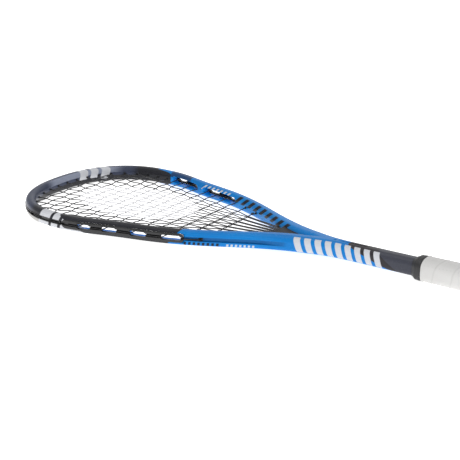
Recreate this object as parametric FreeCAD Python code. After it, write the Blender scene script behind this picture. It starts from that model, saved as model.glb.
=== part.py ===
import FreeCAD, Part
import math
import os

# Squash racket, built as one graphite moulding with its grommets, strings and handle.
# Frame: +X from the butt to the tip of the head, +Y to the left, +Z up off the strings.
# The origin is the middle of the flat butt end. All sizes are in millimetres.

V = FreeCAD.Vector
Z_UP = V(0, 0, 1)

# ---- head and shaft outline -------------------------------------------------
TIP_X = 685.7
WIDEST_X = 593.0
WIDEST_HALF = 105.4
TIP_POWER = 2.25
SHAFT_HALF = 9.4
SHAFT_START_X = 9.0
SHAFT_STRAIGHT_TO_X = 262.0
ARM_POINTS = [(290, 9.7), (315, 12.6), (350, 21.9), (390, 39.2), (430, 60.2), (480, 80.2)]

# ---- tube -------------------------------------------------------------------
TUBE_WIDTH = 12.0
TUBE_WALL = 1.5
HEAD_DEPTH = 16.5
TIP_DEPTH = 17.1
SHAFT_DEPTH = 17.9
SECTION_POWER = 3.0
APEX_X = 338.0
ARM_FULL_X = 420.0
SHAFT_FULL_X = 300.0
TIP_OVERRUN = 14.0
STATION_STEP = 11.0
FACETS = 22

# ---- openings through the tube: each takes four crosses ---------------------
FIRST_PORT_CROSS = {1: 7, -1: 6}
PORT_END = 3.4
PORT_HALF_HEIGHT = 4.3
PORT_CORNER = 4.0
PORT_LIP = 1.5

# ---- plastic trim set in the outside of the head ----------------------------
INSERT_PAST_FIRST = 7.0
INSERT_PAST_LAST = 4.2
INSERT_HALF_HEIGHT = 5.3
INSERT_SEAT = 2.6
INSERT_PROUD = 0.5
INSERT_GAP = 0.15
WINDOW_PAST_STRING = 0.8
WINDOW_HALF_HEIGHT = 2.7
STRIP_HALF_HEIGHT = 2.2
STRIP_SEAT = 2.4
STRIP_PROUD = 0.3
STRIP_GAP = 0.15
TIP_STRIP_REACH = 117.0
STRIP_BREAK = 2.0
CHANNEL_HALF_HEIGHT = 1.5
CHANNEL_DEPTH = 1.7
ARM_GROOVE_TO_X = 352.0
BACKING = 1.4

# ---- strings ----------------------------------------------------------------
STRING_R = 0.6
LAYER = 0.68
MAIN_COUNT = 14
FAN_X = 318.0
FAN_SLOPE = 0.0441
CROSS_X = [655.5, 642.6, 629.3, 615.8, 602.4, 589.0, 576.0, 563.0,
           549.8, 535.5, 520.5, 504.3, 487.4, 469.7, 451.0, 431.0]
STRING_SINK = 1.0
BEND_R = 1.3
BARREL_R = 1.35
BARREL_BORE = 0.8
BARREL_STAND = 1.2
HOLE_R = 1.5
KNOT_R = 1.35
KNOT_HALF = 1.4

# ---- throat yoke ------------------------------------------------------------
YOKE_FACE_X = 379.0
YOKE_DISH = 5.0
YOKE_HALF_HEIGHT = 4.6
YOKE_GAP = 0.15
YOKE_TURN_X = 366.0

# ---- handle -----------------------------------------------------------------
HANDLE_POWER = 3.2
PALLET_SIZES = [(6.0, 28.6, 23.6), (60.0, 26.8, 22.0), (130.0, 25.0, 20.8), (205.0, 23.4, 20.2)]
SNUG = 0.1
GRIP_THICK = 1.8
GRIP_FROM_X = 15.0
GRIP_TO_X = 204.3
CAP_LENGTH = 14.6
CAP_WALL = 2.6
CAP_SIZES = [(0.0, 30.4, 25.4), (2.4, 33.4, 28.4), (9.0, 33.2, 28.2), (14.6, 32.4, 27.4)]
BADGE_SIZE = (18.0, 13.0)
BADGE_DEPTH = 0.8
TAPE_X = (205.3, 211.0)
TAPE_THICK = 0.8
COLLAR_SIZES = [(204.5, 25.6, 22.8), (208.0, 26.2, 23.4), (211.6, 24.9, 22.4), (215.0, 20.6, 19.6)]
PLUG_X = (9.2, 24.0)
STAPLE_WIRE = 0.45


def outline_edges():
    """Half outline on the +Y side, from the shaft end to the tip."""
    points = [V(SHAFT_STRAIGHT_TO_X, SHAFT_HALF, 0)]
    points += [V(x, y, 0) for x, y in ARM_POINTS]
    power = 2.0 / TIP_POWER
    for step in range(-2, 10):
        if step < 0:
            x = WIDEST_X + step * 30.0
            y = WIDEST_HALF - 0.00325 * (WIDEST_X - x) ** 2
        else:
            a = math.radians(step * 10.0)
            x = WIDEST_X + (TIP_X - WIDEST_X) * math.sin(a) ** power
            y = WIDEST_HALF * max(math.cos(a), 0.0) ** power
        points.append(V(x, y, 0))
    points[-1] = V(TIP_X, 0, 0)
    curve = Part.BSplineCurve()
    curve.interpolate(Points=points, InitialTangent=V(1, 0, 0), FinalTangent=V(0, -1, 0))
    start = V(SHAFT_START_X, SHAFT_HALF, 0)
    return [Part.makeLine(start, points[0]), curve.toShape()]


def length_table(curve, count=3000):
    """Running length along the curve against its parameter."""
    first = curve.FirstParameter
    span = curve.LastParameter - first
    table = [(0.0, first)]
    last = curve.valueAt(first)
    total = 0.0
    for i in range(1, count + 1):
        at = first + span * i / count
        point = curve.valueAt(at)
        total += (point - last).Length
        table.append((total, at))
        last = point
    return table


STRAIGHT, CURVE = outline_edges()
LENGTHS = length_table(CURVE)
HALF_LENGTH = STRAIGHT.Length + LENGTHS[-1][0]
FOUND = {}


def parameter_at(length):
    """Curve parameter at a length from its start."""
    low = 0
    high = len(LENGTHS) - 1
    while high - low > 1:
        middle = (low + high) // 2
        if LENGTHS[middle][0] > length:
            high = middle
        else:
            low = middle
    a, u = LENGTHS[low]
    b, w = LENGTHS[high]
    return u + (w - u) * min(max((length - a) / (b - a), 0.0), 1.0)


def outline_at(t):
    """Point, forward direction and outward direction at distance t from the tip.

    Positive t runs down the +Y side, negative t down the -Y side."""
    side = 1.0 if t >= 0 else -1.0
    run = HALF_LENGTH - abs(t)
    if run < STRAIGHT.Length:
        point = V(SHAFT_START_X + run, SHAFT_HALF, 0)
        along = V(1, 0, 0)
    else:
        at = parameter_at(run - STRAIGHT.Length)
        point = CURVE.valueAt(at)
        along = CURVE.tangentAt(at)
        along.normalize()
    out = V(-along.y, along.x, 0)
    if side < 0:
        point = V(point.x, -point.y, 0)
        along = V(along.x, -along.y, 0)
        out = V(out.x, -out.y, 0)
    return point, along, out


def reach_at_x(x):
    """Distance from the tip, along the outline, to the place where it is at x."""
    if x in FOUND:
        return FOUND[x]
    low = 0.0
    high = HALF_LENGTH + 20.0
    for _ in range(34):
        middle = 0.5 * (low + high)
        if outline_at(middle)[0].x > x:
            low = middle
        else:
            high = middle
    FOUND[x] = 0.5 * (low + high)
    return FOUND[x]


def ramp(value, a, b):
    """0 at a, 1 at b, eased at both ends."""
    u = min(max((value - a) / (b - a), 0.0), 1.0)
    return u * u * (3.0 - 2.0 * u)


def tube_width(x, half):
    """Width of the tube in the plane of the strings."""
    if x >= ARM_FULL_X:
        return TUBE_WIDTH
    if x >= APEX_X:
        apex_half = outline_at(reach_at_x(APEX_X))[0].y
        return TUBE_WIDTH + (apex_half - TUBE_WIDTH) * (1.0 - ramp(x, APEX_X, ARM_FULL_X))
    return half * (2.0 - ramp(x, SHAFT_FULL_X, APEX_X))


def tube_depth(x):
    """Depth of the tube across the strings."""
    if x < SHAFT_FULL_X:
        return SHAFT_DEPTH
    if x < 420.0:
        return SHAFT_DEPTH + (HEAD_DEPTH - SHAFT_DEPTH) * ramp(x, SHAFT_FULL_X, 420.0)
    return HEAD_DEPTH + (TIP_DEPTH - HEAD_DEPTH) * ramp(x, 560.0, TIP_X)


def rounded_loop(centre, side_dir, width, depth, power, count=20):
    """Closed smooth loop between an ellipse and a rectangle."""
    points = []
    for i in range(count):
        a = 2.0 * math.pi * i / count
        c = math.cos(a)
        s = math.sin(a)
        u = math.copysign(abs(c) ** (2.0 / power), c) * width / 2.0
        w = math.copysign(abs(s) ** (2.0 / power), s) * depth / 2.0
        points.append(centre + side_dir * u + Z_UP * w)
    curve = Part.BSplineCurve()
    curve.interpolate(Points=points, PeriodicFlag=True)
    return Part.Wire([curve.toShape()])


def facet_loop(centre, side_dir, width, depth):
    """Closed loop of short straight sides on the tube's rounded section."""
    points = []
    for i in range(FACETS):
        a = 2.0 * math.pi * (i + 0.5) / FACETS
        c = math.cos(a)
        s = math.sin(a)
        u = math.copysign(abs(c) ** (2.0 / SECTION_POWER), c) * width / 2.0
        w = math.copysign(abs(s) ** (2.0 / SECTION_POWER), s) * depth / 2.0
        points.append(centre + side_dir * u + Z_UP * w)
    return Part.makePolygon(points + [points[0]])


def tube_section(t, shrink):
    point, along, out = outline_at(t)
    half = abs(point.y)
    width = tube_width(point.x, half)
    centre = point - out * (width / 2.0)
    return facet_loop(centre, out, width - 2 * shrink, tube_depth(point.x) - 2 * shrink)


LEFT_SIDE = Part.makeBox(900, 200, 60, V(-50, 0, -30))


def tube_run(shrink, overrun, end_x):
    """Left side of the hairpin tube, from past the tip down to end_x, not yet trimmed."""
    bend = reach_at_x(SHAFT_STRAIGHT_TO_X - 4.0)
    count = int((bend + overrun) / STATION_STEP)
    stations = [bend - (bend + overrun) * (count - i) / count for i in range(count + 1)]
    stations.append(reach_at_x(end_x))
    return Part.makeLoft([tube_section(t, shrink) for t in stations], True, True)


def ribbon(t0, t1, outer, inner, z0, z1, step=7.0):
    """Band that follows the outline from t0 to t1, between two depths below it."""
    count = max(3, int(abs(t1 - t0) / step) + 1)
    rows = [[], []]
    for i in range(count + 1):
        point, along, out = outline_at(t0 + (t1 - t0) * i / count)
        rows[0].append(point - out * outer + V(0, 0, z0))
        rows[1].append(point - out * inner + V(0, 0, z0))
    curves = []
    for row in rows:
        curve = Part.BSplineCurve()
        curve.interpolate(Points=row)
        curves.append(curve.toShape())
    ends = [Part.makeLine(rows[0][0], rows[1][0]), Part.makeLine(rows[0][-1], rows[1][-1])]
    wire = Part.Wire(Part.__sortEdges__(curves + ends))
    return Part.Face(wire).extrude(V(0, 0, z1 - z0))


def round_ends(band, t0, t1, radius):
    """Rounds the four corners of a band that run through the tube wall."""
    chosen = []
    for t in (t0, t1):
        point, along, out = outline_at(t)
        for edge in band.Edges:
            if len(edge.Vertexes) < 2:
                continue
            a = edge.Vertexes[0].Point
            b = edge.Vertexes[1].Point
            line = b - a
            flat = abs(line.z) < 1e-6 and line.Length > 1e-6
            through = flat and line.cross(out).Length / line.Length < 1e-3
            if through and abs((a - point).dot(along)) < 0.05:
                chosen.append(edge)
    return band.makeFillet(radius, chosen)


def rod(start, direction, length, radius):
    return Part.makeCylinder(radius, length, start, direction)


def smooth_path(points, radius):
    """Wire through the points with every corner rounded."""
    edges = []
    last = points[0]
    for i in range(1, len(points) - 1):
        a = points[i - 1]
        b = points[i]
        c = points[i + 1]
        u = (a - b)
        w = (c - b)
        room = 0.49 * min(u.Length, w.Length)
        u.normalize()
        w.normalize()
        angle = math.acos(max(-1.0, min(1.0, u.dot(w))))
        if math.pi - angle < 0.01:
            continue
        cut = min(radius / math.tan(angle / 2.0), room)
        r = cut * math.tan(angle / 2.0)
        start = b + u * cut
        end = b + w * cut
        half = (u + w)
        half.normalize()
        centre = b + half * (r / math.sin(angle / 2.0))
        middle = centre - half * r
        if (start - last).Length > 1e-4:
            edges.append(Part.makeLine(last, start))
        edges.append(Part.Arc(start, middle, end).toShape())
        last = end
    edges.append(Part.makeLine(last, points[-1]))
    return Part.Wire(edges)


def swept_string(points, radius):
    path = smooth_path(points, BEND_R)
    first = points[1] - points[0]
    circle = Part.Wire([Part.makeCircle(radius, points[0], first)])
    return path.makePipeShell([circle], True, False)


def loop_points(t0, t1, z):
    """Points of a string laid in the outside channel from t0 to t1."""
    steps = max(1, int(abs(t1 - t0) / 9.0))
    result = []
    for i in range(steps + 1):
        point, along, out = outline_at(t0 + (t1 - t0) * i / steps)
        result.append(point - out * STRING_SINK + V(0, 0, z))
    return result


def main_slope(index):
    """Sideways slope of each main; index runs from 0 on the right to the left."""
    return FAN_SLOPE * (index - (MAIN_COUNT - 1) / 2.0)


def main_tip_reach(index):
    """Signed distance from the tip where a main meets the outline."""
    slope = main_slope(index)
    low = 0.0
    high = 190.0
    for _ in range(50):
        middle = 0.5 * (low + high)
        point = outline_at(middle)[0]
        if point.y < abs(slope) * (point.x - FAN_X):
            low = middle
        else:
            high = middle
    return math.copysign(0.5 * (low + high), slope)


def yoke_face_x(y):
    """Front face of the yoke, dished towards the handle in the middle."""
    return YOKE_FACE_X - YOKE_DISH * (1.0 - (y / 24.0) ** 2)


def main_base(index):
    """Where a main turns round inside the yoke."""
    slope = main_slope(index)
    return V(YOKE_TURN_X, slope * (YOKE_TURN_X - FAN_X), LAYER)


def mains_path():
    """One continuous string through all the mains, starting and ending in the yoke."""
    points = []
    for index in range(MAIN_COUNT):
        t = main_tip_reach(index)
        base = main_base(index)
        if index % 2 == 0:
            points.append(base)
            nxt = main_tip_reach(index + 1)
            points += loop_points(t, nxt, LAYER)
        else:
            points.append(base)
    return points


def crosses_path():
    """One continuous string through all the crosses, from the head to the throat."""
    points = []
    for index, x in enumerate(CROSS_X):
        t = reach_at_x(x)
        side = 1.0 if index % 2 == 0 else -1.0
        if index == 0:
            start = loop_points(-t, -t - 1.0, -LAYER)[0]
            points.append(V(start.x, start.y, start.z))
        if index + 1 < len(CROSS_X):
            nxt = reach_at_x(CROSS_X[index + 1])
            points += loop_points(side * t, side * nxt, -LAYER)
        else:
            points.append(loop_points(side * t, side * t + side, -LAYER)[0])
    return points


def barrel(start, direction, length):
    outer = rod(start, direction, length, BARREL_R)
    bore = rod(start - direction * 1.0, direction, length + 2.0, BARREL_BORE)
    return outer.cut(bore)


def string_ends():
    """Every place where a string passes the tube: (distance from tip, aim, height)."""
    places = []
    for index in range(MAIN_COUNT):
        slope = main_slope(index)
        aim = V(-1, -slope, 0)
        aim.normalize()
        places.append((main_tip_reach(index), aim, LAYER))
    for x in CROSS_X:
        t = reach_at_x(x)
        places.append((t, V(0, -1, 0), -LAYER))
        places.append((-t, V(0, 1, 0), -LAYER))
    return places


def wall_run(t, aim):
    """Length of the path along aim that stays in the tube."""
    point, along, out = outline_at(t)
    return tube_width(point.x, abs(point.y)) / max(0.35, abs(aim.dot(out)))


def handle_loft(sizes, grow):
    wires = []
    for x, width, depth in sizes:
        wires.append(rounded_loop(V(x, 0, 0), V(0, 1, 0), width + 2 * grow, depth + 2 * grow,
                                  HANDLE_POWER))
    return Part.makeLoft(wires, True, False)


def size_at(sizes, x):
    for low, high in zip(sizes[:-1], sizes[1:]):
        if x <= high[0]:
            u = (x - low[0]) / (high[0] - low[0])
            u = max(u, 0.0)
            return low[1] + u * (high[1] - low[1]), low[2] + u * (high[2] - low[2])
    return sizes[-1][1], sizes[-1][2]


def handle_shell(x0, x1, grow_in, grow_out, sizes):
    xs = [x0] + [s[0] for s in sizes if x0 + 4 < s[0] < x1 - 4] + [x1]
    span = [(x,) + size_at(sizes, x) for x in xs]
    return handle_loft(span, grow_out).cut(handle_loft(stretch(span), grow_in))


def stretch(span):
    """The same run of sizes, carried a little past both ends."""
    first = span[0]
    last = span[-1]
    return [(first[0] - 2.0,) + first[1:]] + list(span) + [(last[0] + 2.0,) + last[1:]]


def save(name, shape):
    if not shape.isValid():
        shape.fix(0.001, 0.001, 0.01)
    print(name, "solids", len(shape.Solids), "valid", shape.isValid(),
          "volume", round(shape.Volume, 1), flush=True)
    shape.exportStep("parts/" + name + ".step")


os.makedirs("parts", exist_ok=True)

# ---- frame ------------------------------------------------------------------
outer_run = tube_run(0.0, TIP_OVERRUN, SHAFT_START_X)
hollow_run = tube_run(TUBE_WALL, TIP_OVERRUN + 3.0, SHAFT_START_X - 3.0)
groove_reach = reach_at_x(ARM_GROOVE_TO_X)
inserts = {}
for side in (1, -1):
    first = FIRST_PORT_CROSS[side]
    inserts[side] = (side * reach_at_x(CROSS_X[first - 1] + INSERT_PAST_FIRST),
                     side * (reach_at_x(CROSS_X[first + 7]) + INSERT_PAST_LAST))


def frame_side(side):
    """One half of the frame, with its walls, ports, seats and string holes."""
    first = FIRST_PORT_CROSS[side]
    body = outer_run
    hollow = hollow_run
    keep = LEFT_SIDE
    if side < 0:
        body = body.mirror(V(0, 0, 0), V(0, 1, 0))
        hollow = hollow.mirror(V(0, 0, 0), V(0, 1, 0))
        keep = keep.mirror(V(0, 0, 0), V(0, 1, 0))
    over = -side * (TIP_OVERRUN + 6.0)
    tall = STRIP_HALF_HEIGHT + BACKING
    pads = [ribbon(over, side * (groove_reach + 1), -2.0, STRIP_SEAT + BACKING, -tall, tall)]
    cuts = [ribbon(over, side * groove_reach, -3.0, STRIP_SEAT,
                   -STRIP_HALF_HEIGHT, STRIP_HALF_HEIGHT)]
    for k in (first, first + 4):
        t0 = side * (reach_at_x(CROSS_X[k]) - PORT_END)
        t1 = side * (reach_at_x(CROSS_X[k + 3]) + PORT_END)
        tall = PORT_HALF_HEIGHT + PORT_LIP
        pads.append(ribbon(t0 - side * PORT_LIP, t1 + side * PORT_LIP, -3.0,
                           TUBE_WIDTH + 3.0, -tall, tall))
        port = ribbon(t0, t1, -3.0, TUBE_WIDTH + 4.0, -PORT_HALF_HEIGHT, PORT_HALF_HEIGHT)
        cuts.append(round_ends(port, t0, t1, PORT_CORNER))
    t0, t1 = inserts[side]
    tall = INSERT_HALF_HEIGHT + BACKING
    pads.append(ribbon(t0 - side * BACKING, t1 + side * BACKING, -3.0, INSERT_SEAT + BACKING,
                       -tall, tall))
    seat = ribbon(t0, t1, -3.0, INSERT_SEAT, -INSERT_HALF_HEIGHT, INSERT_HALF_HEIGHT)
    cuts.append(round_ends(seat, t0, t1, INSERT_HALF_HEIGHT - 0.3))
    for pad in pads:
        hollow = hollow.cut(pad)
    body = body.cut(hollow).common(keep)
    for tool in cuts:
        body = body.cut(tool)
    for t, aim, height in string_ends():
        if t * side > 0:
            point = outline_at(t)[0]
            start = point + V(0, 0, height) - aim * 3.0
            body = body.cut(rod(start, aim, wall_run(t, aim) + 6.0, HOLE_R))
    print("side", side, round(body.Volume), len(body.Solids), body.isValid(), flush=True)
    return body


frame = frame_side(1).fuse(frame_side(-1)).removeSplitter()
save("frame", frame)

# ---- throat yoke ------------------------------------------------------------
grown_run = tube_run(-YOKE_GAP, TIP_OVERRUN, SHAFT_START_X)
left_side = []
for x in (372.0, 365.0, 358.0, 351.0, 345.0, 340.0):
    point, along, out = outline_at(reach_at_x(x))
    left_side.append(point - out * (tube_width(point.x, point.y) / 2.0))
right_side = [V(p.x, -p.y, 0) for p in reversed(left_side)]
front = [right_side[-1]]
front += [V(yoke_face_x(y), y, 0) for y in (-18.0, -9.0, 0.0, 9.0, 18.0)]
front.append(left_side[0])
front_curve = Part.BSplineCurve()
front_curve.interpolate(Points=front)
sides = left_side + right_side
edges = [Part.makeLine(a, b) for a, b in zip(sides[:-1], sides[1:])]
yoke_wire = Part.Wire(Part.__sortEdges__(edges + [front_curve.toShape()]))
yoke = Part.Face(yoke_wire).extrude(V(0, 0, 2 * YOKE_HALF_HEIGHT))
yoke.translate(V(0, 0, -YOKE_HALF_HEIGHT))
yoke = yoke.cut(grown_run).cut(grown_run.mirror(V(0, 0, 0), V(0, 1, 0)))
yoke = max(yoke.Solids, key=lambda piece: piece.Volume)


def main_at(index, x):
    return V(x, main_slope(index) * (x - FAN_X), LAYER)


bores = []
for index in (0, MAIN_COUNT - 1):
    line = main_at(index, YOKE_FACE_X + 12.0) - main_base(index)
    bores.append(rod(main_base(index) - line * 0.02, line, line.Length, BARREL_BORE))
for index in range(1, MAIN_COUNT - 1, 2):
    turn = [main_at(index, YOKE_FACE_X + 12.0), main_base(index), main_base(index + 1),
            main_at(index + 1, YOKE_FACE_X + 12.0)]
    bores.append(swept_string(turn, BARREL_BORE))
for bore in bores:
    yoke = yoke.cut(bore)
save("throat_yoke", yoke)


# ---- strings ----------------------------------------------------------------
def knot(place, direction):
    """Tied-off lump round a string, lying along it."""
    direction.normalize()
    return rod(place - direction * KNOT_HALF, direction, 2 * KNOT_HALF, KNOT_R)


main_string = swept_string(mains_path(), STRING_R)
for index in (0, MAIN_COUNT - 1):
    place = main_at(index, YOKE_FACE_X + 9.0)
    main_string = main_string.fuse(knot(place, place - main_base(index)))
save("main_string", main_string)
cross_string = swept_string(crosses_path(), STRING_R)
first_knot = V(CROSS_X[0], -4.0 * FAN_SLOPE * (CROSS_X[0] - FAN_X), -LAYER)
last_knot = V(CROSS_X[-1], -43.0, -LAYER)
for place in (first_knot, last_knot):
    cross_string = cross_string.fuse(knot(place, V(0, 1, 0)))
save("cross_string", cross_string)


# ---- grommet strips, port inserts and single grommets -----------------------
def trim(t0, t1, proud, seat, half_height, round_radius=0.0):
    """Band of plastic with the string channel along its outside."""
    band = ribbon(t0, t1, -proud, seat, -half_height, half_height)
    if round_radius > 0:
        band = round_ends(band, t0, t1, round_radius)
    reach = math.copysign(1.0, t1 - t0)
    channel = ribbon(t0 - reach, t1 + reach, -proud - 2.0, CHANNEL_DEPTH,
                     -CHANNEL_HALF_HEIGHT, CHANNEL_HALF_HEIGHT)
    return band.cut(channel)


def with_barrels(band, low, high, seat):
    """Adds a barrel through the tube for each string between low and high."""
    chosen = [e for e in string_ends() if low < e[0] < high]
    for t, aim, height in chosen:
        point, along, out = outline_at(t)
        lean = abs(aim.dot(out))
        start = point + V(0, 0, height) + aim * ((seat - 0.3) / lean)
        length = wall_run(t, aim) - (seat - 0.3) / lean + BARREL_STAND
        band = band.fuse(rod(start, aim, length, BARREL_R))
    for t, aim, height in chosen:
        start = outline_at(t)[0] + V(0, 0, height) - aim * 4.0
        band = band.cut(rod(start, aim, wall_run(t, aim) + 10.0, BARREL_BORE))
    return band


strip_half = STRIP_HALF_HEIGHT - STRIP_GAP
strip_seat = STRIP_SEAT - STRIP_GAP
tip_strip = trim(-TIP_STRIP_REACH, TIP_STRIP_REACH, STRIP_PROUD, strip_seat, strip_half)
save("head_bumper_strip", with_barrels(tip_strip, -TIP_STRIP_REACH, TIP_STRIP_REACH, strip_seat))
for side, name in ((1, "left"), (-1, "right")):
    t0 = side * (TIP_STRIP_REACH + STRIP_BREAK)
    t1 = inserts[side][0] - side * STRIP_BREAK
    strip = trim(t0, t1, STRIP_PROUD, strip_seat, strip_half)
    strip = with_barrels(strip, min(t0, t1), max(t0, t1), strip_seat)
    save(name + "_side_grommet_strip", strip)

for side, name in ((1, "left"), (-1, "right")):
    first = FIRST_PORT_CROSS[side]
    t0 = inserts[side][0] + side * INSERT_GAP
    t1 = inserts[side][1] - side * INSERT_GAP
    tall = INSERT_HALF_HEIGHT - INSERT_GAP
    insert = trim(t0, t1, INSERT_PROUD, INSERT_SEAT - INSERT_GAP, tall, tall - 0.3)
    for k in range(first, first + 8, 2):
        a = side * (reach_at_x(CROSS_X[k]) - WINDOW_PAST_STRING)
        b = side * (reach_at_x(CROSS_X[k + 1]) + WINDOW_PAST_STRING)
        window = ribbon(a, b, -3.0, 8.0, -WINDOW_HALF_HEIGHT, WINDOW_HALF_HEIGHT)
        insert = insert.cut(round_ends(window, a, b, WINDOW_HALF_HEIGHT - 0.2))
    hole_t = side * reach_at_x(CROSS_X[first - 1])
    insert = with_barrels(insert, hole_t - 1.0, hole_t + 1.0, INSERT_SEAT - INSERT_GAP)
    save(name + "_port_insert", insert)

sleeves = []
for side, x in ((1, CROSS_X[15]), (-1, CROSS_X[14]), (-1, CROSS_X[15])):
    t = side * reach_at_x(x)
    sleeve = trim(t - 3.2, t + 3.2, 0.1, strip_seat, strip_half)
    sleeves.append(with_barrels(sleeve, t - 1.0, t + 1.0, strip_seat))
save("arm_grommets", Part.makeCompound(sleeves))


# ---- handle -----------------------------------------------------------------
def shaft_prism(x0, x1, grow):
    """Length of the shaft's own section."""
    loops = []
    for x in (x0, x1):
        loops.append(rounded_loop(V(x, 0, 0), V(0, 1, 0), 2 * (SHAFT_HALF + grow),
                                  SHAFT_DEPTH + 2 * grow, SECTION_POWER))
    return Part.makeLoft(loops, True, True)


def staple(points, radius):
    path = smooth_path(points, 0.8)
    circle = Part.Wire([Part.makeCircle(radius, points[0], points[1] - points[0])])
    return path.makePipeShell([circle], True, False)


cap_staples = []
cap_staple_room = []
for side in (1, -1):
    legs = [V(5.2, 11.0 * side, 0), V(5.2, 16.3 * side, 0), V(12.2, 16.3 * side, 0),
            V(12.2, 11.0 * side, 0)]
    cap_staples.append(staple(legs, STAPLE_WIRE))
    cap_staple_room.append(staple([legs[0] - V(0, side, 0), legs[1], legs[2],
                                   legs[3] - V(0, side, 0)], STAPLE_WIRE + SNUG))
grip_legs = [V(19.0, -3.0, 9.5), V(19.0, -3.0, 11.0), V(19.0, 3.0, 11.0), V(19.0, 3.0, 9.5)]
grip_staple = staple(grip_legs, STAPLE_WIRE)
grip_staple_room = staple(grip_legs, STAPLE_WIRE + 0.05)

pallet = handle_loft(PALLET_SIZES, 0.0).cut(shaft_prism(0.0, 212.0, SNUG))
for room in cap_staple_room + [grip_staple_room]:
    pallet = pallet.cut(room)
save("handle_pallet", pallet)

plug_width = 2 * (SHAFT_HALF - TUBE_WALL - SNUG)
plug_depth = SHAFT_DEPTH - 2 * (TUBE_WALL + SNUG)
plug = Part.makeLoft([facet_loop(V(x, 0, 0), V(0, 1, 0), plug_width, plug_depth)
                      for x in PLUG_X], True, True)
save("shaft_plug", plug)

grip = handle_shell(GRIP_FROM_X, GRIP_TO_X, SNUG, SNUG + GRIP_THICK, PALLET_SIZES)
save("grip_wrap", grip)

cap = Part.makeLoft([rounded_loop(V(x, 0, 0), V(0, 1, 0), w, d, HANDLE_POWER)
                     for x, w, d in CAP_SIZES], True, False)
cap_space = [(CAP_WALL,) + size_at(PALLET_SIZES, 6.0)]
cap_space.append((CAP_LENGTH + 2.0,) + size_at(PALLET_SIZES, CAP_LENGTH + 2.0))
cap = cap.cut(handle_loft(cap_space, SNUG))
badge_face = Part.Ellipse(V(0, 0, 0), BADGE_SIZE[0] / 2.0, BADGE_SIZE[1] / 2.0).toShape()
badge = Part.Face(Part.Wire([badge_face])).extrude(V(0, 0, BADGE_DEPTH - SNUG))
badge.rotate(V(0, 0, 0), V(0, 0, 1), 90)
badge.rotate(V(0, 0, 0), V(0, 1, 0), 90)
pocket_face = Part.Ellipse(V(0, 0, 0), BADGE_SIZE[0] / 2.0 + 0.15, BADGE_SIZE[1] / 2.0 + 0.15)
pocket = Part.Face(Part.Wire([pocket_face.toShape()])).extrude(V(0, 0, BADGE_DEPTH + 1.0))
pocket.rotate(V(0, 0, 0), V(0, 0, 1), 90)
pocket.rotate(V(0, 0, 0), V(0, 1, 0), 90)
pocket.translate(V(-1.0, 0, 0))
cap = cap.cut(pocket)
for room in cap_staple_room:
    cap = cap.cut(room)
save("butt_cap", cap)
save("butt_badge", badge)
save("butt_cap_staples", Part.makeCompound(cap_staples))
save("grip_staple", grip_staple)

tape = shaft_prism(TAPE_X[0], TAPE_X[1], SNUG + TAPE_THICK)
tape = tape.cut(shaft_prism(TAPE_X[0] - 1, TAPE_X[1] + 1, SNUG))
save("finishing_tape", tape)
collar = Part.makeLoft([rounded_loop(V(x, 0, 0), V(0, 1, 0), w, d, SECTION_POWER)
                        for x, w, d in COLLAR_SIZES], True, False)
collar = collar.cut(shaft_prism(200.0, 230.0, SNUG))
collar = collar.cut(shaft_prism(200.0, TAPE_X[1] + 0.1, 2 * SNUG + TAPE_THICK))
collar = collar.cut(handle_loft([(200.0, 23.8, 20.6), (205.2, 23.8, 20.6)], 0.0))
save("rubber_collar", collar)
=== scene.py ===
import math

import bmesh
import bpy
import numpy as np
from mathutils import Matrix, Vector


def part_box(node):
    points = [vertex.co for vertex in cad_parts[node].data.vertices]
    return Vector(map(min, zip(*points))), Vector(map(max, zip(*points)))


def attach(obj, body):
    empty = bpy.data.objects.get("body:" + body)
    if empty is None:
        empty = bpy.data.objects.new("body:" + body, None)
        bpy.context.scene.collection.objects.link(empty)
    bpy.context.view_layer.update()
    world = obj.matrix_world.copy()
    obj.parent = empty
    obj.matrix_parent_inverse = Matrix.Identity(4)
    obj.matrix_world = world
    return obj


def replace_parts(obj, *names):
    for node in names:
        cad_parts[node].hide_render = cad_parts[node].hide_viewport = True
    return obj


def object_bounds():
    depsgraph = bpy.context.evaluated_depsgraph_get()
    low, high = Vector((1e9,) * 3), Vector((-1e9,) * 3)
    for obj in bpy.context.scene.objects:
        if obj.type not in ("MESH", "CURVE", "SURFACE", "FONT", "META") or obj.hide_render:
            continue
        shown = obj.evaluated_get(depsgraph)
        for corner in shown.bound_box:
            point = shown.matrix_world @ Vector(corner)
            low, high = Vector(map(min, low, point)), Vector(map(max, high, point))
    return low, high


# Looks of the squash racket. Meshes are worked out in millimetres and stored in metres,
# in the row frame: +X from the butt to the tip of the head, +Y left, +Z off the strings.

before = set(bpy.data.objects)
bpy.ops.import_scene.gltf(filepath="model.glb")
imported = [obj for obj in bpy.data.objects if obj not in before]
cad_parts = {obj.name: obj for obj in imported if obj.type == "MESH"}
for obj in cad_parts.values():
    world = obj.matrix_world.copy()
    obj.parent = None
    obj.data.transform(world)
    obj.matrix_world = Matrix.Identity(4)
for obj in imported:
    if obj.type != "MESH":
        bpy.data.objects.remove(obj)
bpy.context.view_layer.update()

# ---- sizes in millimetres, the same as the CAD solids ----
TIP_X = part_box("frame")[1].x * 1000.0
WIDEST_X = 593.0
WIDEST_HALF = 105.4
TIP_POWER = 2.25
SHAFT_HALF = 9.4
SHAFT_START_X = 9.0
SHAFT_STRAIGHT_TO_X = 262.0
ARM_POINTS = [(290, 9.7), (315, 12.6), (350, 21.9), (390, 39.2), (430, 60.2), (480, 80.2)]
TUBE_WIDTH = 12.0
HEAD_DEPTH = 16.5
TIP_DEPTH = 17.1
SHAFT_DEPTH = 17.9
SECTION_POWER = 3.0
APEX_X = 338.0
ARM_FULL_X = 420.0
SHAFT_FULL_X = 300.0
FIRST_PORT_CROSS = {1: 7, -1: 6}
PORT_END = 3.4
PORT_HALF = 4.3
PANEL_HALF = 5.3
GROOVE_DEPTH = 2.4
GROOVE_TO_X = 352.0
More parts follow.
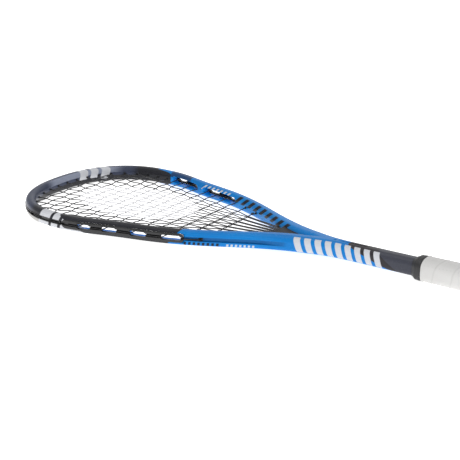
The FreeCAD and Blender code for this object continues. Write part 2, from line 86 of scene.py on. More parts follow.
TIP_STRIP_REACH = 117.0
STRING_R = 0.6
LAYER = 0.68
MAIN_COUNT = 14
FAN_X = 318.0
FAN_SLOPE = 0.0441
CROSS_X = [655.5, 642.6, 629.3, 615.8, 602.4, 589.0, 576.0, 563.0,
           549.8, 535.5, 520.5, 504.3, 487.4, 469.7, 451.0, 431.0]
STRING_SINK = 1.0
YOKE_TURN_X = 366.0
HANDLE_POWER = 3.2
GRIP_SIZES = [(6.0, 28.6, 23.6), (60.0, 26.8, 22.0), (130.0, 25.0, 20.8), (205.0, 23.4, 20.2)]
GRIP_GROW = 1.9
STRIP_HALF = 2.05
STRIP_PROUD = 0.3
STRIP_SEAT = 2.25
CHANNEL_HALF = 1.45
CHANNEL_DEPTH = 1.7
INSERT_GAP = 0.15
INSERT_PAST_FIRST = 7.0
INSERT_PAST_LAST = 4.05
WINDOW_PAST_STRING = 0.8
WINDOW_HALF = 2.7
YOKE_FACE_X = 379.0
YOKE_DISH = 5.0
YOKE_HALF = 4.6
MERGE_MM = 0.004


# ---- outline of the head, the same curve as in the CAD ----
def clamped_spline(points, start, end):
    """Cubic through the points with given end directions; returns a sampler."""
    p = np.array(points, float)
    h = np.linalg.norm(np.diff(p, axis=0), axis=1)
    u = np.concatenate([[0.0], np.cumsum(h)])
    n = len(p)
    a = np.zeros((n, n))
    b = np.zeros((n, 2))
    slope = np.diff(p, axis=0) / h[:, None]
    a[0, 0], a[0, 1] = 2 * h[0], h[0]
    b[0] = 6 * (slope[0] - np.array(start))
    a[-1, -1], a[-1, -2] = 2 * h[-1], h[-1]
    b[-1] = 6 * (np.array(end) - slope[-1])
    for i in range(1, n - 1):
        a[i, i - 1], a[i, i], a[i, i + 1] = h[i - 1], 2 * (h[i - 1] + h[i]), h[i]
        b[i] = 6 * (slope[i] - slope[i - 1])
    m = np.linalg.solve(a, b)

    def sample(at):
        i = np.clip(np.searchsorted(u, at, side="right") - 1, 0, n - 2)
        d = (at - u[i])[:, None]
        g = h[i][:, None]
        e = g - d
        value = (m[i] * e**3 + m[i + 1] * d**3) / (6 * g)
        value += (p[i] / g - m[i] * g / 6) * e + (p[i + 1] / g - m[i + 1] * g / 6) * d
        return value

    return sample, u[-1]


def half_outline():
    points = [(SHAFT_STRAIGHT_TO_X, SHAFT_HALF)] + list(ARM_POINTS)
    for x in (WIDEST_X - 60.0, WIDEST_X - 30.0):
        points.append((x, WIDEST_HALF - 0.00325 * (WIDEST_X - x) ** 2))
    power = 2.0 / TIP_POWER
    for step in range(10):
        a = math.radians(step * 10.0)
        points.append((WIDEST_X + (TIP_X - WIDEST_X) * math.sin(a) ** power,
                       WIDEST_HALF * max(math.cos(a), 0.0) ** power))
    points[-1] = (TIP_X, 0.0)
    sample, length = clamped_spline(points, (1, 0), (0, -1))
    curve = sample(np.linspace(0.0, length, 6000))
    straight = np.column_stack([np.linspace(SHAFT_START_X, SHAFT_STRAIGHT_TO_X, 400),
                                np.full(400, SHAFT_HALF)])
    line = np.vstack([straight[:-1], curve])[::-1]
    run = np.concatenate([[0.0], np.cumsum(np.linalg.norm(np.diff(line, axis=0), axis=1))])
    along = -np.gradient(line, run, axis=0)
    along /= np.linalg.norm(along, axis=1)[:, None]
    along[0] = (0.0, -1.0)
    return run, line, along


RUN, LINE, ALONG = half_outline()
HALF_LENGTH = RUN[-1]


def outline_at(t):
    """Points and outward directions at signed distances t from the tip, + on the left."""
    t = np.atleast_1d(np.asarray(t, float))
    a = np.abs(t)
    side = np.where(t >= 0, 1.0, -1.0)
    x = np.interp(a, RUN, LINE[:, 0])
    y = np.interp(a, RUN, LINE[:, 1])
    ax = np.interp(a, RUN, ALONG[:, 0])
    ay = np.interp(a, RUN, ALONG[:, 1])
    size = np.hypot(ax, ay)
    point = np.column_stack([x, y * side, np.zeros_like(x)])
    out = np.column_stack([-ay / size, ax / size * side, np.zeros_like(x)])
    return point, out


def reach_at_x(x):
    """Distance from the tip to where the outline is at x."""
    return float(np.interp(-x, -LINE[:, 0], RUN))


def ramp(value, a, b):
    u = np.clip((np.asarray(value, float) - a) / (b - a), 0.0, 1.0)
    return u * u * (3.0 - 2.0 * u)


APEX_HALF = float(outline_at(reach_at_x(APEX_X))[0][0, 1])


def tube_width(x, half):
    arm = TUBE_WIDTH + (APEX_HALF - TUBE_WIDTH) * (1.0 - ramp(x, APEX_X, ARM_FULL_X))
    shaft = half * (2.0 - ramp(x, SHAFT_FULL_X, APEX_X))
    return np.where(x >= APEX_X, arm, shaft)


def tube_depth(x):
    low = SHAFT_DEPTH + (HEAD_DEPTH - SHAFT_DEPTH) * ramp(x, SHAFT_FULL_X, 420.0)
    return np.where(x < 420.0, low, HEAD_DEPTH + (TIP_DEPTH - HEAD_DEPTH) * ramp(x, 560.0, TIP_X))


def bulge(z, width, depth):
    """Half width of the rounded section at height z."""
    return width / 2.0 * np.maximum(1.0 - np.abs(2.0 * z / depth) ** SECTION_POWER, 0.0) ** (
        1.0 / SECTION_POWER)


# ---- mesh building ----
class Build:
    """Collects points and faces in millimetres and turns them into one object."""

    def __init__(self):
        self.points = []
        self.faces = []
        self.values = []
        self.count = 0

    def add(self, points, faces, value=0.0):
        points = np.asarray(points, float).reshape(-1, 3)
        value = np.broadcast_to(np.asarray(value, float).ravel() if np.ndim(value) else value,
                                (len(points),))
        self.points.append(points)
        self.values.append(value)
        self.faces += [tuple(i + self.count for i in f) for f in faces]
        self.count += len(points)

    def grid(self, points, value=0.0, around=False):
        """Points in rows and columns joined by quads."""
        n, m = points.shape[:2]
        faces = []
        for i in range(n - 1):
            k = i + 1
            for j in range(m if around else m - 1):
                l = (j + 1) % m
                faces.append((i * m + j, i * m + l, k * m + l, k * m + j))
        if np.ndim(value):
            value = np.broadcast_to(value, (n, m))
        self.add(points, faces, value)

    def fan(self, loop, centre, value=0.0):
        """Closes a loop of points towards a centre point."""
        n = len(loop)
        points = np.vstack([loop, [centre]])
        self.add(points, [(i, (i + 1) % n, n) for i in range(n)], value)

    def make(self, name, slot, material, sharp=40.0):
        mesh = bpy.data.meshes.new(name)
        mesh.from_pydata((np.vstack(self.points) * 0.001).tolist(), [], self.faces)
        layer = mesh.attributes.new("across", "FLOAT", "POINT")
        layer.data.foreach_set("value", np.concatenate(self.values).astype(np.float32))
        bm = bmesh.new()
        bm.from_mesh(mesh)
        bmesh.ops.remove_doubles(bm, verts=bm.verts, dist=MERGE_MM * 0.001)
        bmesh.ops.dissolve_degenerate(bm, edges=bm.edges, dist=1e-7)
        bmesh.ops.recalc_face_normals(bm, faces=bm.faces)
        for face in bm.faces:
            face.smooth = True
        limit = math.radians(sharp)
        for edge in bm.edges:
            if len(edge.link_faces) == 2 and edge.calc_face_angle(0.0) > limit:
                edge.smooth = False
        bm.to_mesh(mesh)
        bm.free()
        piece = bpy.data.objects.new(name, mesh)
        bpy.context.scene.collection.objects.link(piece)
        mesh.materials.append(material)
        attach(piece, "root")
        return piece


def split(values, step):
    """Even stations between each pair of values, at most step apart."""
    result = [values[0]]
    for a, b in zip(values[:-1], values[1:]):
        count = max(1, int(math.ceil(abs(b - a) / step)))
        result += [a + (b - a) * i / count for i in range(1, count + 1)]
    return np.array(result)


# ---- frame tube ----
LIP = 0.35
OUTER_Z = np.array([-5.3, -3.6, -2.2 - LIP, -2.2, -2.2 + 0.12, -1.7, 0.0,
                    1.7, 2.2 - 0.12, 2.2, 2.2 + LIP, 3.6, 5.3])
OUTER_SINK = np.array([0, 0, 0, 0.12, 0.5, 1.0, 1.0, 1.0, 0.5, 0.12, 0, 0, 0])
CAP_STEPS = 16
INNER_STEPS = 10


def groove_at(x):
    """Depth of the groove outside the tube: even round the head, running out at the throat."""
    return GROOVE_DEPTH * ramp(x, GROOVE_TO_X, GROOVE_TO_X + 26.0)


def tube_rows(t):
    """Section points at stations t, as parts: outer rows, top, inner rows, bottom."""
    point, out = outline_at(t)
    x = point[:, 0]
    half = np.abs(point[:, 1])
    width = tube_width(x, half)
    depth = tube_depth(x)
    n = len(x)
    sink = groove_at(x)[:, None] * OUTER_SINK[None, :]
    lat = bulge(OUTER_Z[None, :], width[:, None], depth[:, None])
    outer = (lat - sink, np.broadcast_to(OUTER_Z, (n, len(OUTER_Z))), lat)
    start = np.arcsin((2 * PANEL_HALF / depth) ** (SECTION_POWER / 2))
    last = math.pi - start
    centre_y = half - width / 2.0 * np.abs(out[:, 1])
    room = np.clip(centre_y / np.maximum(width / 2.0, 1e-6), 0.0, 1.0)
    crossing = math.pi - np.arccos(room ** (SECTION_POWER / 2))
    last = np.minimum(last, np.where(x < APEX_X, crossing, math.pi))
    angle = start[:, None] + (last - start)[:, None] * np.linspace(0, 1, CAP_STEPS + 1)[None, :]
    c, s = np.cos(angle), np.sin(angle)
    top_u = np.sign(c) * np.abs(c) ** (2 / SECTION_POWER) * width[:, None] / 2
    top_z = np.abs(s) ** (2 / SECTION_POWER) * depth[:, None] / 2
    clipped = x < APEX_X
    limit = np.where(clipped, -room * width / 2.0, -1e9)[:, None]
    zc = top_z[:, -1][:, None]
    inner_z = zc * np.linspace(1, -1, INNER_STEPS + 1)[None, :]
    inner_u = np.maximum(-bulge(inner_z, width[:, None], depth[:, None]), limit)
    top_u = np.maximum(top_u, limit)

    def place(u, z):
        centre = point - out * (width / 2.0)[:, None]
        where = centre[:, None, :] + out[:, None, :] * u[:, :, None]
        where[:, :, 2] = z
        side = np.where(t >= 0, 1.0, -1.0)[:, None]
        near = where[:, :, 1] * side
        where[:, :, 1] = np.where(clipped[:, None], np.maximum(near, 0.0), near) * side
        return where

    scale = (width / 2.0)[:, None]
    return {
        "outer": (place(outer[0], outer[1]), outer[2] / scale),
        "top": (place(top_u, top_z), top_u / scale),
        "inner": (place(inner_u, inner_z), inner_u / scale),
        "bottom": (place(top_u[:, ::-1], -top_z[:, ::-1]), top_u[:, ::-1] / scale),
        "width": width, "depth": depth,
    }


def slot_loop(t0, t1, half, radius, per_long, per_short):
    """Rounded slot as matching points for a rectangle: bottom, right, top, left."""
    length = (t1 - t0) - 2 * radius
    straight = half - radius
    quarter = math.pi * radius / 4

    def upper(d):
        if d < quarter:
            a = math.pi * 0.75 - d / radius
            return t0 + radius + radius * math.cos(a), straight + radius * math.sin(a)
        if d < quarter + length:
            return t0 + radius + d - quarter, half
        a = math.pi * 0.5 - (d - quarter - length) / radius
        return t1 - radius + radius * math.cos(a), straight + radius * math.sin(a)

    def right(d):
        if d < quarter:
            a = math.pi * 0.25 - d / radius
            return t1 - radius + radius * math.cos(a), straight + radius * math.sin(a)
        if d < quarter + 2 * straight:
            return t1, straight - (d - quarter)
        a = -(d - quarter - 2 * straight) / radius
        return t1 - radius + radius * math.cos(a), -straight + radius * math.sin(a)

    across = 2 * quarter + length
    down = 2 * quarter + 2 * straight
    top = [upper(across * i / per_long) for i in range(per_long)]
    side = [right(down * i / per_short) for i in range(per_short)]
    middle = t0 + t1
    loop = top + side
    loop += [(middle - p, -q) for p, q in loop]
    return np.array(loop)


def rectangle_loop(rows_top, rows_side_right, rows_bottom, rows_side_left):
    """Points round a panel: along the top, down the right, back, up the left."""
    return np.concatenate([rows_top[:-1], rows_side_right[:-1], rows_bottom[:-1],
                           rows_side_left[:-1]])


def wall_point(t, z, sink):
    """Point on the tube's outer wall at (t, z), sunk inwards by sink."""
    point, out = outline_at(t)
    width = tube_width(point[:, 0], np.abs(point[:, 1]))
    depth = tube_depth(point[:, 0])
    where = point - out * (width / 2.0 - bulge(z, width, depth) + sink)[:, None]
    where[:, 2] = z
    return where


def through_point(t, z, share):
    """Point across the tube: share 0 on the outer wall and 1 on the inner wall."""
    point, out = outline_at(t)
    width = tube_width(point[:, 0], np.abs(point[:, 1]))
    depth = tube_depth(point[:, 0])
    lat = bulge(z, width, depth)
    where = point - out * (width / 2.0 - lat + 2 * lat * share)[:, None]
    where[:, 2] = z
    return where


def frame_mesh():
    build = Build()
    for side in (1, -1):
        first = FIRST_PORT_CROSS[side]
        ports = []
        for k in (first, first + 4):
            ports.append((reach_at_x(CROSS_X[k]) - PORT_END,
                          reach_at_x(CROSS_X[k + 3]) + PORT_END))
        edge = 1.6
        marks = [0.0]
        for t0, t1 in ports:
            marks += [t0 - edge, t1 + edge]
        marks += [reach_at_x(x) for x in (420.0, 378.0, 352.0, APEX_X, SHAFT_FULL_X)]
        marks.append(HALF_LENGTH)
        for i, (a, b) in enumerate(zip(marks[:-1], marks[1:])):
            step = 2.6 if i < 7 else (2.0 if i < 9 else 5.0)
            t = side * split([a, b], step)
            rows = tube_rows(t)
            order = ("outer", "top", "inner", "bottom")
            if (a + edge, b - edge) not in ports:
                points = np.concatenate([rows[k][0][:, :-1] for k in order], axis=1)
                value = np.concatenate([rows[k][1][:, :-1] for k in order], axis=1)
                build.grid(points, value, around=True)
                continue
            build.grid(*rows["top"])
            build.grid(*rows["bottom"])
            n = len(t) - 1
            for name in ("outer", "inner"):
                p, v = rows[name]
                if name == "outer":
                    p, v = p[:, ::-1], v[:, ::-1]
                m = p.shape[1] - 1
                loop_p = rectangle_loop(p[:, 0], p[-1], p[::-1, -1], p[0, ::-1])
                loop_v = rectangle_loop(v[:, 0], v[-1], v[::-1, -1], v[0, ::-1])
                slot = slot_loop(a + edge, b - edge, PORT_HALF, 4.0, n, m)
                wide = slot_loop(a + edge - 0.5, b - edge + 0.5, PORT_HALF + 0.5, 4.5, n, m)
                st, sz = slot[:, 0] * side, slot[:, 1]
                wt, wz = wide[:, 0] * side, wide[:, 1]
                if name == "outer":
                    rim = wall_point(wt, wz, GROOVE_DEPTH)
                    sunk = wall_point(st, sz, GROOVE_DEPTH + 0.5)
                    walls = [loop_p, rim, sunk]
                    walls += [through_point(st, sz, 0.4), through_point(st, sz, 0.65)]
                    value = [loop_v, np.full(len(st), 0.6), np.full(len(st), 3.0),
                             np.full(len(st), 3.0), np.full(len(st), 3.0)]
                else:
                    walls = [loop_p, through_point(wt, wz, 1.0), through_point(st, sz, 0.955)]
                    value = [loop_v, np.full(len(st), -1.0), np.full(len(st), 3.0)]
                    tunnel = [through_point(st, sz, 0.955), through_point(st, sz, 0.65)]
                    if m != len(OUTER_Z) - 1:
                        other = slot_loop(a + edge, b - edge, PORT_HALF, 4.0, n,
                                          len(OUTER_Z) - 1)
                        ot, oz = other[:, 0] * side, other[:, 1]
                        tunnel = [through_point(ot, oz, 0.955), through_point(ot, oz, 0.65)]
                    build.grid(np.array(tunnel), 3.0, around=True)
                build.grid(np.array(walls), np.array(value), around=True)
    return build


# ---- plastic bands in the groove ----
def band(build, stations, profile, ends=True):
    """Sweeps a closed profile of (outward, height) points along the outline."""
    point, out = outline_at(stations)
    profile = np.array(profile, float)
    where = point[:, None, :] + out[:, None, :] * profile[None, :, 0, None]
    where[:, :, 2] = profile[None, :, 1]
    build.grid(where, 0.0, around=True)
    if ends:
        for k in (0, -1):
            build.fan(where[k], where[k].mean(axis=0))


def strip_profile(half, proud, seat, channel_half, channel_depth):
    """Strip with a round-bottomed string channel and softened edges."""
    top = [(-seat, half), (proud - 0.25, half), (proud - 0.06, half - 0.08),
           (proud, half - 0.25), (proud, channel_half + 0.22), (proud - 0.12, channel_half + 0.06),
           (proud - 0.4, channel_half), (-channel_depth + 0.45, channel_half - 0.05),
           (-channel_depth + 0.12, channel_half - 0.45), (-channel_depth, channel_half - 0.9)]
    return top + [(u, -z) for u, z in reversed(top)]


def barrel(build, t, aim, height, stand=1.2, radius=1.35):
    """Grommet barrel that stands out of the inner wall round one string."""
    point, out = outline_at(t)
    width = float(tube_width(point[:, 0], np.abs(point[:, 1]))[0])
    start = point[0] + np.array([0, 0, height])
    length = width / max(0.35, abs(float(aim @ out[0])))
    side = np.cross(aim, (0.0, 0.0, 1.0))
    side /= np.linalg.norm(side)
    up = np.cross(side, aim)
    shape = [(length - 1.5, radius), (length + stand * 0.7, radius),
             (length + stand * 0.93, radius - 0.08), (length + stand, radius - 0.28),
             (length + stand, 0.84), (length + stand - 0.25, 0.7), (length - 1.0, 0.68)]
    turns = np.linspace(0, 2 * math.pi, 17)[:-1]
    ring = np.cos(turns)[:, None] * side + np.sin(turns)[:, None] * up
    rows = np.array([start + aim * d + ring * r for d, r in shape])
    build.grid(rows, 0.0, around=True)


def main_slope(index):
    return FAN_SLOPE * (index - (MAIN_COUNT - 1) / 2.0)


def main_tip_reach(index):
    """Signed distance from the tip where a main meets the outline."""
    slope = main_slope(index)
    low, high = 0.0, 190.0
    for _ in range(50):
        middle = 0.5 * (low + high)
        point = outline_at(middle)[0][0]
        if point[1] < abs(slope) * (point[0] - FAN_X):
            low = middle
        else:
            high = middle
    return math.copysign(0.5 * (low + high), slope)


def string_ends():
    places = []
    for index in range(MAIN_COUNT):
        aim = np.array([-1.0, -main_slope(index), 0.0])
        places.append((main_tip_reach(index), aim / np.linalg.norm(aim), LAYER))
    for x in CROSS_X:
        t = reach_at_x(x)
        places.append((t, np.array([0.0, -1.0, 0.0]), -LAYER))
        places.append((-t, np.array([0.0, 1.0, 0.0]), -LAYER))
    return places


def insert_ends(side):
    first = FIRST_PORT_CROSS[side]
    return (reach_at_x(CROSS_X[first - 1] + INSERT_PAST_FIRST) + INSERT_GAP,
            reach_at_x(CROSS_X[first + 7]) + INSERT_PAST_LAST)


def grommet_strip(build, t0, t1):
    low, high = min(t0, t1), max(t0, t1)
    band(build, split([t0, t1], 2.5), strip_profile(STRIP_HALF, STRIP_PROUD, STRIP_SEAT,
                                                    CHANNEL_HALF, CHANNEL_DEPTH))
    for t, aim, height in string_ends():
        if low < t < high:
            barrel(build, t, aim, height)


# ---- port inserts ----
INSERT_HALF = 5.15
BAR_Z = np.array([4.0, 3.0, 2.1, 1.62, 1.5, 1.36, 0.9, 0.0,
                  -0.9, -1.36, -1.5, -1.62, -2.1, -3.0, -4.0])
BAR_UP = np.array([0.5, 0.5, 0.46, 0.3, -0.1, -1.2, -1.7, -1.7,
                   -1.7, -1.2, -0.1, 0.3, 0.46, 0.5, 0.5])


def insert_plate(build, side):
    """Plate over the openings, with a raised rim round each window."""
    first = FIRST_PORT_CROSS[side]
    t0, t1 = insert_ends(side)
    windows = []
    for k in range(first, first + 8, 2):
        windows.append((reach_at_x(CROSS_X[k]) - WINDOW_PAST_STRING,
                        reach_at_x(CROSS_X[k + 1]) + WINDOW_PAST_STRING))
    edge = 1.3
    radius = INSERT_HALF - 0.15

    def half_at(t):
        d = np.minimum(t - t0, t1 - t)
        short = np.clip(radius - d, 0.0, radius)
        return np.maximum(np.sqrt(radius**2 - short**2) + 0.15 * (short < radius), 0.02)

    def place(t, z, up):
        point, out = outline_at(side * t)
        width = tube_width(point[:, 0], np.abs(point[:, 1]))
        depth = tube_depth(point[:, 0])
        drop = width / 2.0 - bulge(z, width, depth)
        lift = np.where(up > -0.5, up - drop, up)
        where = point + out * lift[:, None]
        where[:, 2] = z
        return where

    marks = [t0]
    for a, b in windows:
        marks += [a - edge, b + edge]
    marks.append(t1)
    for i, (a, b) in enumerate(zip(marks[:-1], marks[1:])):
        if i in (0, len(marks) - 2):
            ease = (1 - np.cos(np.linspace(0, math.pi / 2, 9))) * radius
            if i == 0:
                t = np.concatenate([a + ease, split([a + radius, b], 2.0)[1:]])
                if b <= a + radius:
                    t = a + (b - a) * np.linspace(0, 1, 9) ** 1.6
            else:
                t = np.concatenate([split([a, b - radius], 2.0)[:-1], b - ease[::-1]])
                if b - radius <= a:
                    t = b - (b - a) * (1 - np.linspace(0, 1, 9)) ** 1.6
        else:
            t = split([a, b], 1.8)
        half = half_at(t)
        n = len(t) - 1
        rows = []
        for sign in (1, -1):
            profile = [(-0.9, 0.0), (0.1, 0.0), (0.38, 0.1), (0.5, 0.35), (0.5, 0.7)]
            lines = []
            for up, back in profile:
                z = sign * np.maximum(half - back, half * 0.5)
                lines.append(place(t, z, np.full(len(t), up)))
            z = np.minimum(4.0, half * 0.8)
            lines.append(place(t, sign * z, np.full(len(t), 0.5)))
            rows.append(np.array(lines))
        build.grid(rows[0].transpose(1, 0, 2), 0.0)
        build.grid(rows[1][::-1].transpose(1, 0, 2), 0.0)
        core_z = BAR_Z[None, :] / 4.0 * np.minimum(4.0, half * 0.8)[:, None]
        m = len(BAR_Z) - 1
        core = np.array([place(t, core_z[:, j], np.full(len(t), BAR_UP[j]))
                         for j in range(m + 1)]).transpose(1, 0, 2)
        if i % 2 == 0:
            build.grid(core, 0.0)
            continue
        outer = rectangle_loop(core[:, 0], core[-1], core[::-1, -1], core[0, ::-1])
        w0, w1 = a + edge, b - edge
        loops = []
        for grow, up, notch in ((0.85, 0.5, -1.7), (0.7, 0.95, -1.7), (0.3, 1.05, -1.75),
                                (0.08, 0.85, -1.85), (0.0, 0.4, -2.0), (0.0, -1.2, -2.2),
                                (0.0, -2.5, -2.5)):
            loop = slot_loop(w0 - grow, w1 + grow, WINDOW_HALF + grow, 2.5 + grow, n, m)
            height = np.full(len(loop), up)
            ends = (np.abs(loop[:, 1]) < 1.25) & (
                (loop[:, 0] < w0 + 1.2) | (loop[:, 0] > w1 - 1.2))
            height = np.where(ends, notch, height)
            loops.append(place(loop[:, 0], loop[:, 1], height))
        build.grid(np.array([outer] + loops), 0.0, around=True)
    for t, aim, height in string_ends():
        if abs(t - side * reach_at_x(CROSS_X[first - 1])) < 1.0:
            barrel(build, t, aim, height)


# ---- strings ----
def round_path(points, radius=1.3):
    """Path through the points with its corners rounded off."""
    points = np.array(points, float)
    result = [points[0]]
    for i in range(1, len(points) - 1):
        a, b, c = points[i - 1], points[i], points[i + 1]
        u, w = a - b, c - b
        lu, lw = np.linalg.norm(u), np.linalg.norm(w)
        if lu < 1e-6 or lw < 1e-6:
            continue
        u, w = u / lu, w / lw
        bend = math.pi - math.acos(max(-1.0, min(1.0, float(u @ w))))
        if bend < 0.12:
            result.append(b)
            continue
        cut = min(radius * math.tan(bend / 2), 0.49 * min(lu, lw))
        start, end = b + u * cut, b + w * cut
        count = max(2, int(math.degrees(bend) / 18))
        for k in range(count + 1):
            f = k / count
            result.append((1 - f) ** 2 * start + 2 * f * (1 - f) * b + f**2 * end)
    result.append(points[-1])
    return np.array(result)


def tube_along(build, path, radius=STRING_R, around=10, value=0.0):
    """Round string along a path, carried without twist."""
    keep = [0]
    for i in range(1, len(path)):
        if np.linalg.norm(path[i] - path[keep[-1]]) > 0.05:
            keep.append(i)
    path = path[keep]
    ahead = np.gradient(path, axis=0)
    ahead /= np.linalg.norm(ahead, axis=1)[:, None]
    side = np.cross(ahead[0], (0.0, 0.0, 1.0))
    if np.linalg.norm(side) < 0.1:
        side = np.cross(ahead[0], (0.0, 1.0, 0.0))
    turns = np.linspace(0, 2 * math.pi, around + 1)[:-1]
    rows = []
    for p, d in zip(path, ahead):
        side = side - d * (side @ d)
        side /= np.linalg.norm(side)
        up = np.cross(side, d)
        rows.append(p + radius * (np.cos(turns)[:, None] * side + np.sin(turns)[:, None] * up))
    rows = np.array(rows)
    build.grid(rows, value, around=True)
    build.fan(rows[0], path[0], value)
    build.fan(rows[-1], path[-1], value)


WEAVE = 0.58


def crossing_sign(main, cross):
    return 1.0 if (main + cross) % 2 == 0 else -1.0


def weave_between(knots):
    """Points through (position, height) knots, with eased height between them."""
    result = []
    for (p, zp), (q, zq) in zip(knots[:-1], knots[1:]):
        p, q = np.array(p, float), np.array(q, float)
        for k in range(8):
            f = k / 8
            ease = 0.5 - 0.5 * math.cos(math.pi * f)
            where = p + (q - p) * f
            result.append((where[0], where[1], zp + (zq - zp) * ease))
    last, z = knots[-1]
    result.append((last[0], last[1], z))
    return result


def loop_points(t0, t1, z):
    steps = max(1, int(abs(t1 - t0) / 4.0))
    point, out = outline_at(np.linspace(t0, t1, steps + 1))
    where = point - out * STRING_SINK
    where[:, 2] = z
    return [tuple(p) for p in where]


def inner_limit(t):
    """Point just inside the hoop where a string leaves the tube at t."""
    point, out = outline_at(t)
    width = float(tube_width(point[:, 0], np.abs(point[:, 1]))[0])
    return point[0] - out[0] * (width + 2.0)


def main_knots(index):
    slope = main_slope(index)
    t = main_tip_reach(index)
    top = inner_limit(t)
    x_top = min(top[0], outline_at(t)[0][0][0] - 13.0)
    knots = [((378.0, slope * (378.0 - FAN_X)), LAYER)]
    for cross in range(len(CROSS_X) - 1, -1, -1):
        x = CROSS_X[cross]
        if x < x_top - 1.0:
            knots.append(((x, slope * (x - FAN_X)), WEAVE * crossing_sign(index, cross)))
    knots.append(((x_top + 3.0, slope * (x_top + 3.0 - FAN_X)), LAYER))
    return knots


def mains_path():
    path = []
    for index in range(MAIN_COUNT):
        slope = main_slope(index)
        base = (YOKE_TURN_X, slope * (YOKE_TURN_X - FAN_X), LAYER)
        run = weave_between(main_knots(index))
        if index % 2 == 0:
            t = main_tip_reach(index)
            path += [base] + run + loop_points(t, main_tip_reach(index + 1), LAYER)
        else:
            path += run[::-1] + [base]
    return path


def cross_knots(cross):
    x = CROSS_X[cross]
    edge = inner_limit(reach_at_x(x))[1]
    knots = [((x, -edge), -LAYER)]
    for index in range(MAIN_COUNT):
        y = main_slope(index) * (x - FAN_X)
        if abs(y) < edge - 1.0:
            knots.append(((x, y), -WEAVE * crossing_sign(index, cross)))
    knots.append(((x, edge), -LAYER))
    return knots


def crosses_path():
    path = []
    for index, x in enumerate(CROSS_X):
        t = reach_at_x(x)
        side = 1.0 if index % 2 == 0 else -1.0
        run = weave_between(cross_knots(index))
        if side < 0:
            run = run[::-1]
        if index == 0:
            path.append(loop_points(-t, -t - 1.0, -LAYER)[0])
        path += run
        if index + 1 < len(CROSS_X):
            path += loop_points(side * t, side * reach_at_x(CROSS_X[index + 1]), -LAYER)
        else:
            path.append(loop_points(side * t, side * t + side, -LAYER)[0])
    return path


def knot(build, centre, along):
    """Knot drawn as a short tight coil of string."""
    along = np.array(along, float)
    along /= np.linalg.norm(along)
    side = np.cross(along, (0.0, 0.0, 1.0))
    turns = np.linspace(0.0, 4.4 * math.pi, 60)
    path = [np.array(centre) + along * (k / 59.0 - 0.5) * 2.6
            + 0.95 * (math.cos(a) * side + math.sin(a) * np.array([0, 0, 1.0]))
            for k, a in enumerate(turns)]
    tube_along(build, np.array(path), STRING_R * 0.8, 8)


# ---- handle pieces ----
def rounded_ring(x, width, depth, power, count):
    a = np.linspace(0, 2 * math.pi, count + 1)[:-1]
    c, s = np.cos(a), np.sin(a)
    y = np.sign(c) * np.abs(c) ** (2 / power) * width / 2
    z = np.sign(s) * np.abs(s) ** (2 / power) * depth / 2
    return np.column_stack([np.full(count, x), y, z])


def ring_stack(sections, power, count=72):
    return np.array([rounded_ring(x, w, d, power, count) for x, w, d in sections])


def size_at(sizes, x):
    xs = [s[0] for s in sizes]
    return np.interp(x, xs, [s[1] for s in sizes]), np.interp(x, xs, [s[2] for s in sizes])


GRIP_FROM = 14.9
GRIP_TO = 204.6
GRIP_PITCH = 19.5


def grip_mesh():
    """Wound strip: each turn's edge stands over the one before it."""
    build = Build()
    count = 96
    xs = split([GRIP_FROM, GRIP_TO], 0.75)
    a = np.linspace(0, 2 * math.pi, count + 1)[:-1]
    rows, wear_and_seam_shade = [], []
    for x in xs:
        w, d = size_at(GRIP_SIZES, x)
        phase = np.mod((x - GRIP_FROM) / GRIP_PITCH + a / (2 * math.pi), 1.0)
        step = 0.42 * (1.0 - ramp(phase, 0.0, 0.075)) * ramp(phase, -0.02, 0.02)
        rise = 0.42 * ramp(phase, 0.93, 1.0)
        pillow = 0.12 * np.sin(math.pi * np.clip(phase, 0, 1)) ** 0.5
        grow = GRIP_GROW - 0.45 + np.maximum(step, rise) + pillow
        lip = 0.5 * math.exp(-((GRIP_TO - 1.4 - x) / 1.2) ** 2)
        fall = 1.3 * ramp(x, GRIP_TO - 0.9, GRIP_TO + 0.15) ** 2
        fall += 1.0 * (1.0 - ramp(x, GRIP_FROM - 0.1, GRIP_FROM + 1.0))
        ring = rounded_ring(x, w, d, HANDLE_POWER, count)
        normal = ring[:, 1:] / np.array([w / 2, d / 2])
        normal = np.sign(normal) * np.abs(normal) ** (HANDLE_POWER - 1) / np.array([w, d])
        normal /= np.linalg.norm(normal, axis=1)[:, None]
        ring[:, 1:] += normal * (grow + lip - fall)[:, None]
        rows.append(ring)
        # Painted shade: a dark line along each seam, where one turn laps over the one before.
        wear_and_seam_shade.append(np.exp(-(np.minimum(phase, 1 - phase) / 0.03) ** 2))
    rows, wear_and_seam_shade = np.array(rows), np.array(wear_and_seam_shade)
    build.grid(rows, wear_and_seam_shade, around=True)
    for k, x in ((0, GRIP_FROM), (-1, GRIP_TO)):
        w, d = size_at(GRIP_SIZES, x)
        inner = rounded_ring(x, w, d, HANDLE_POWER, count)
        build.grid(np.array([rows[k], inner]), 0.0, around=True)
        if k == -1:
            shaft = rounded_ring(x, 2 * SHAFT_HALF + 0.2, SHAFT_DEPTH + 0.2, SECTION_POWER, count)
            # The end face under the collar gets the full painted seam shade.
            build.grid(np.array([inner, shaft]), 1.0, around=True)
    return build


def collar_mesh():
    """Rubber sleeve that closes the top of the grip."""
    build = Build()
    outer = [(204.4, 25.4, 22.5), (204.7, 26.0, 23.2), (205.4, 26.3, 23.6), (207.6, 26.3, 23.6),
             (208.4, 26.1, 23.4), (208.7, 25.6, 22.9), (209.0, 25.5, 22.8), (209.3, 25.8, 23.2),
             (210.6, 25.6, 23.0), (211.6, 24.9, 22.4), (212.4, 23.6, 21.5), (213.0, 22.2, 20.6),
             (213.5, 21.2, 20.0), (214.2, 20.6, 19.6), (214.8, 20.1, 19.1), (215.0, 19.0, 18.1)]
    rows = ring_stack(outer, SECTION_POWER)
    build.grid(rows, 0.0, around=True)
    inner = rounded_ring(204.4, 2 * SHAFT_HALF, SHAFT_DEPTH, SECTION_POWER, 72)
    build.grid(np.array([rows[0], inner]), 0.0, around=True)
    return build


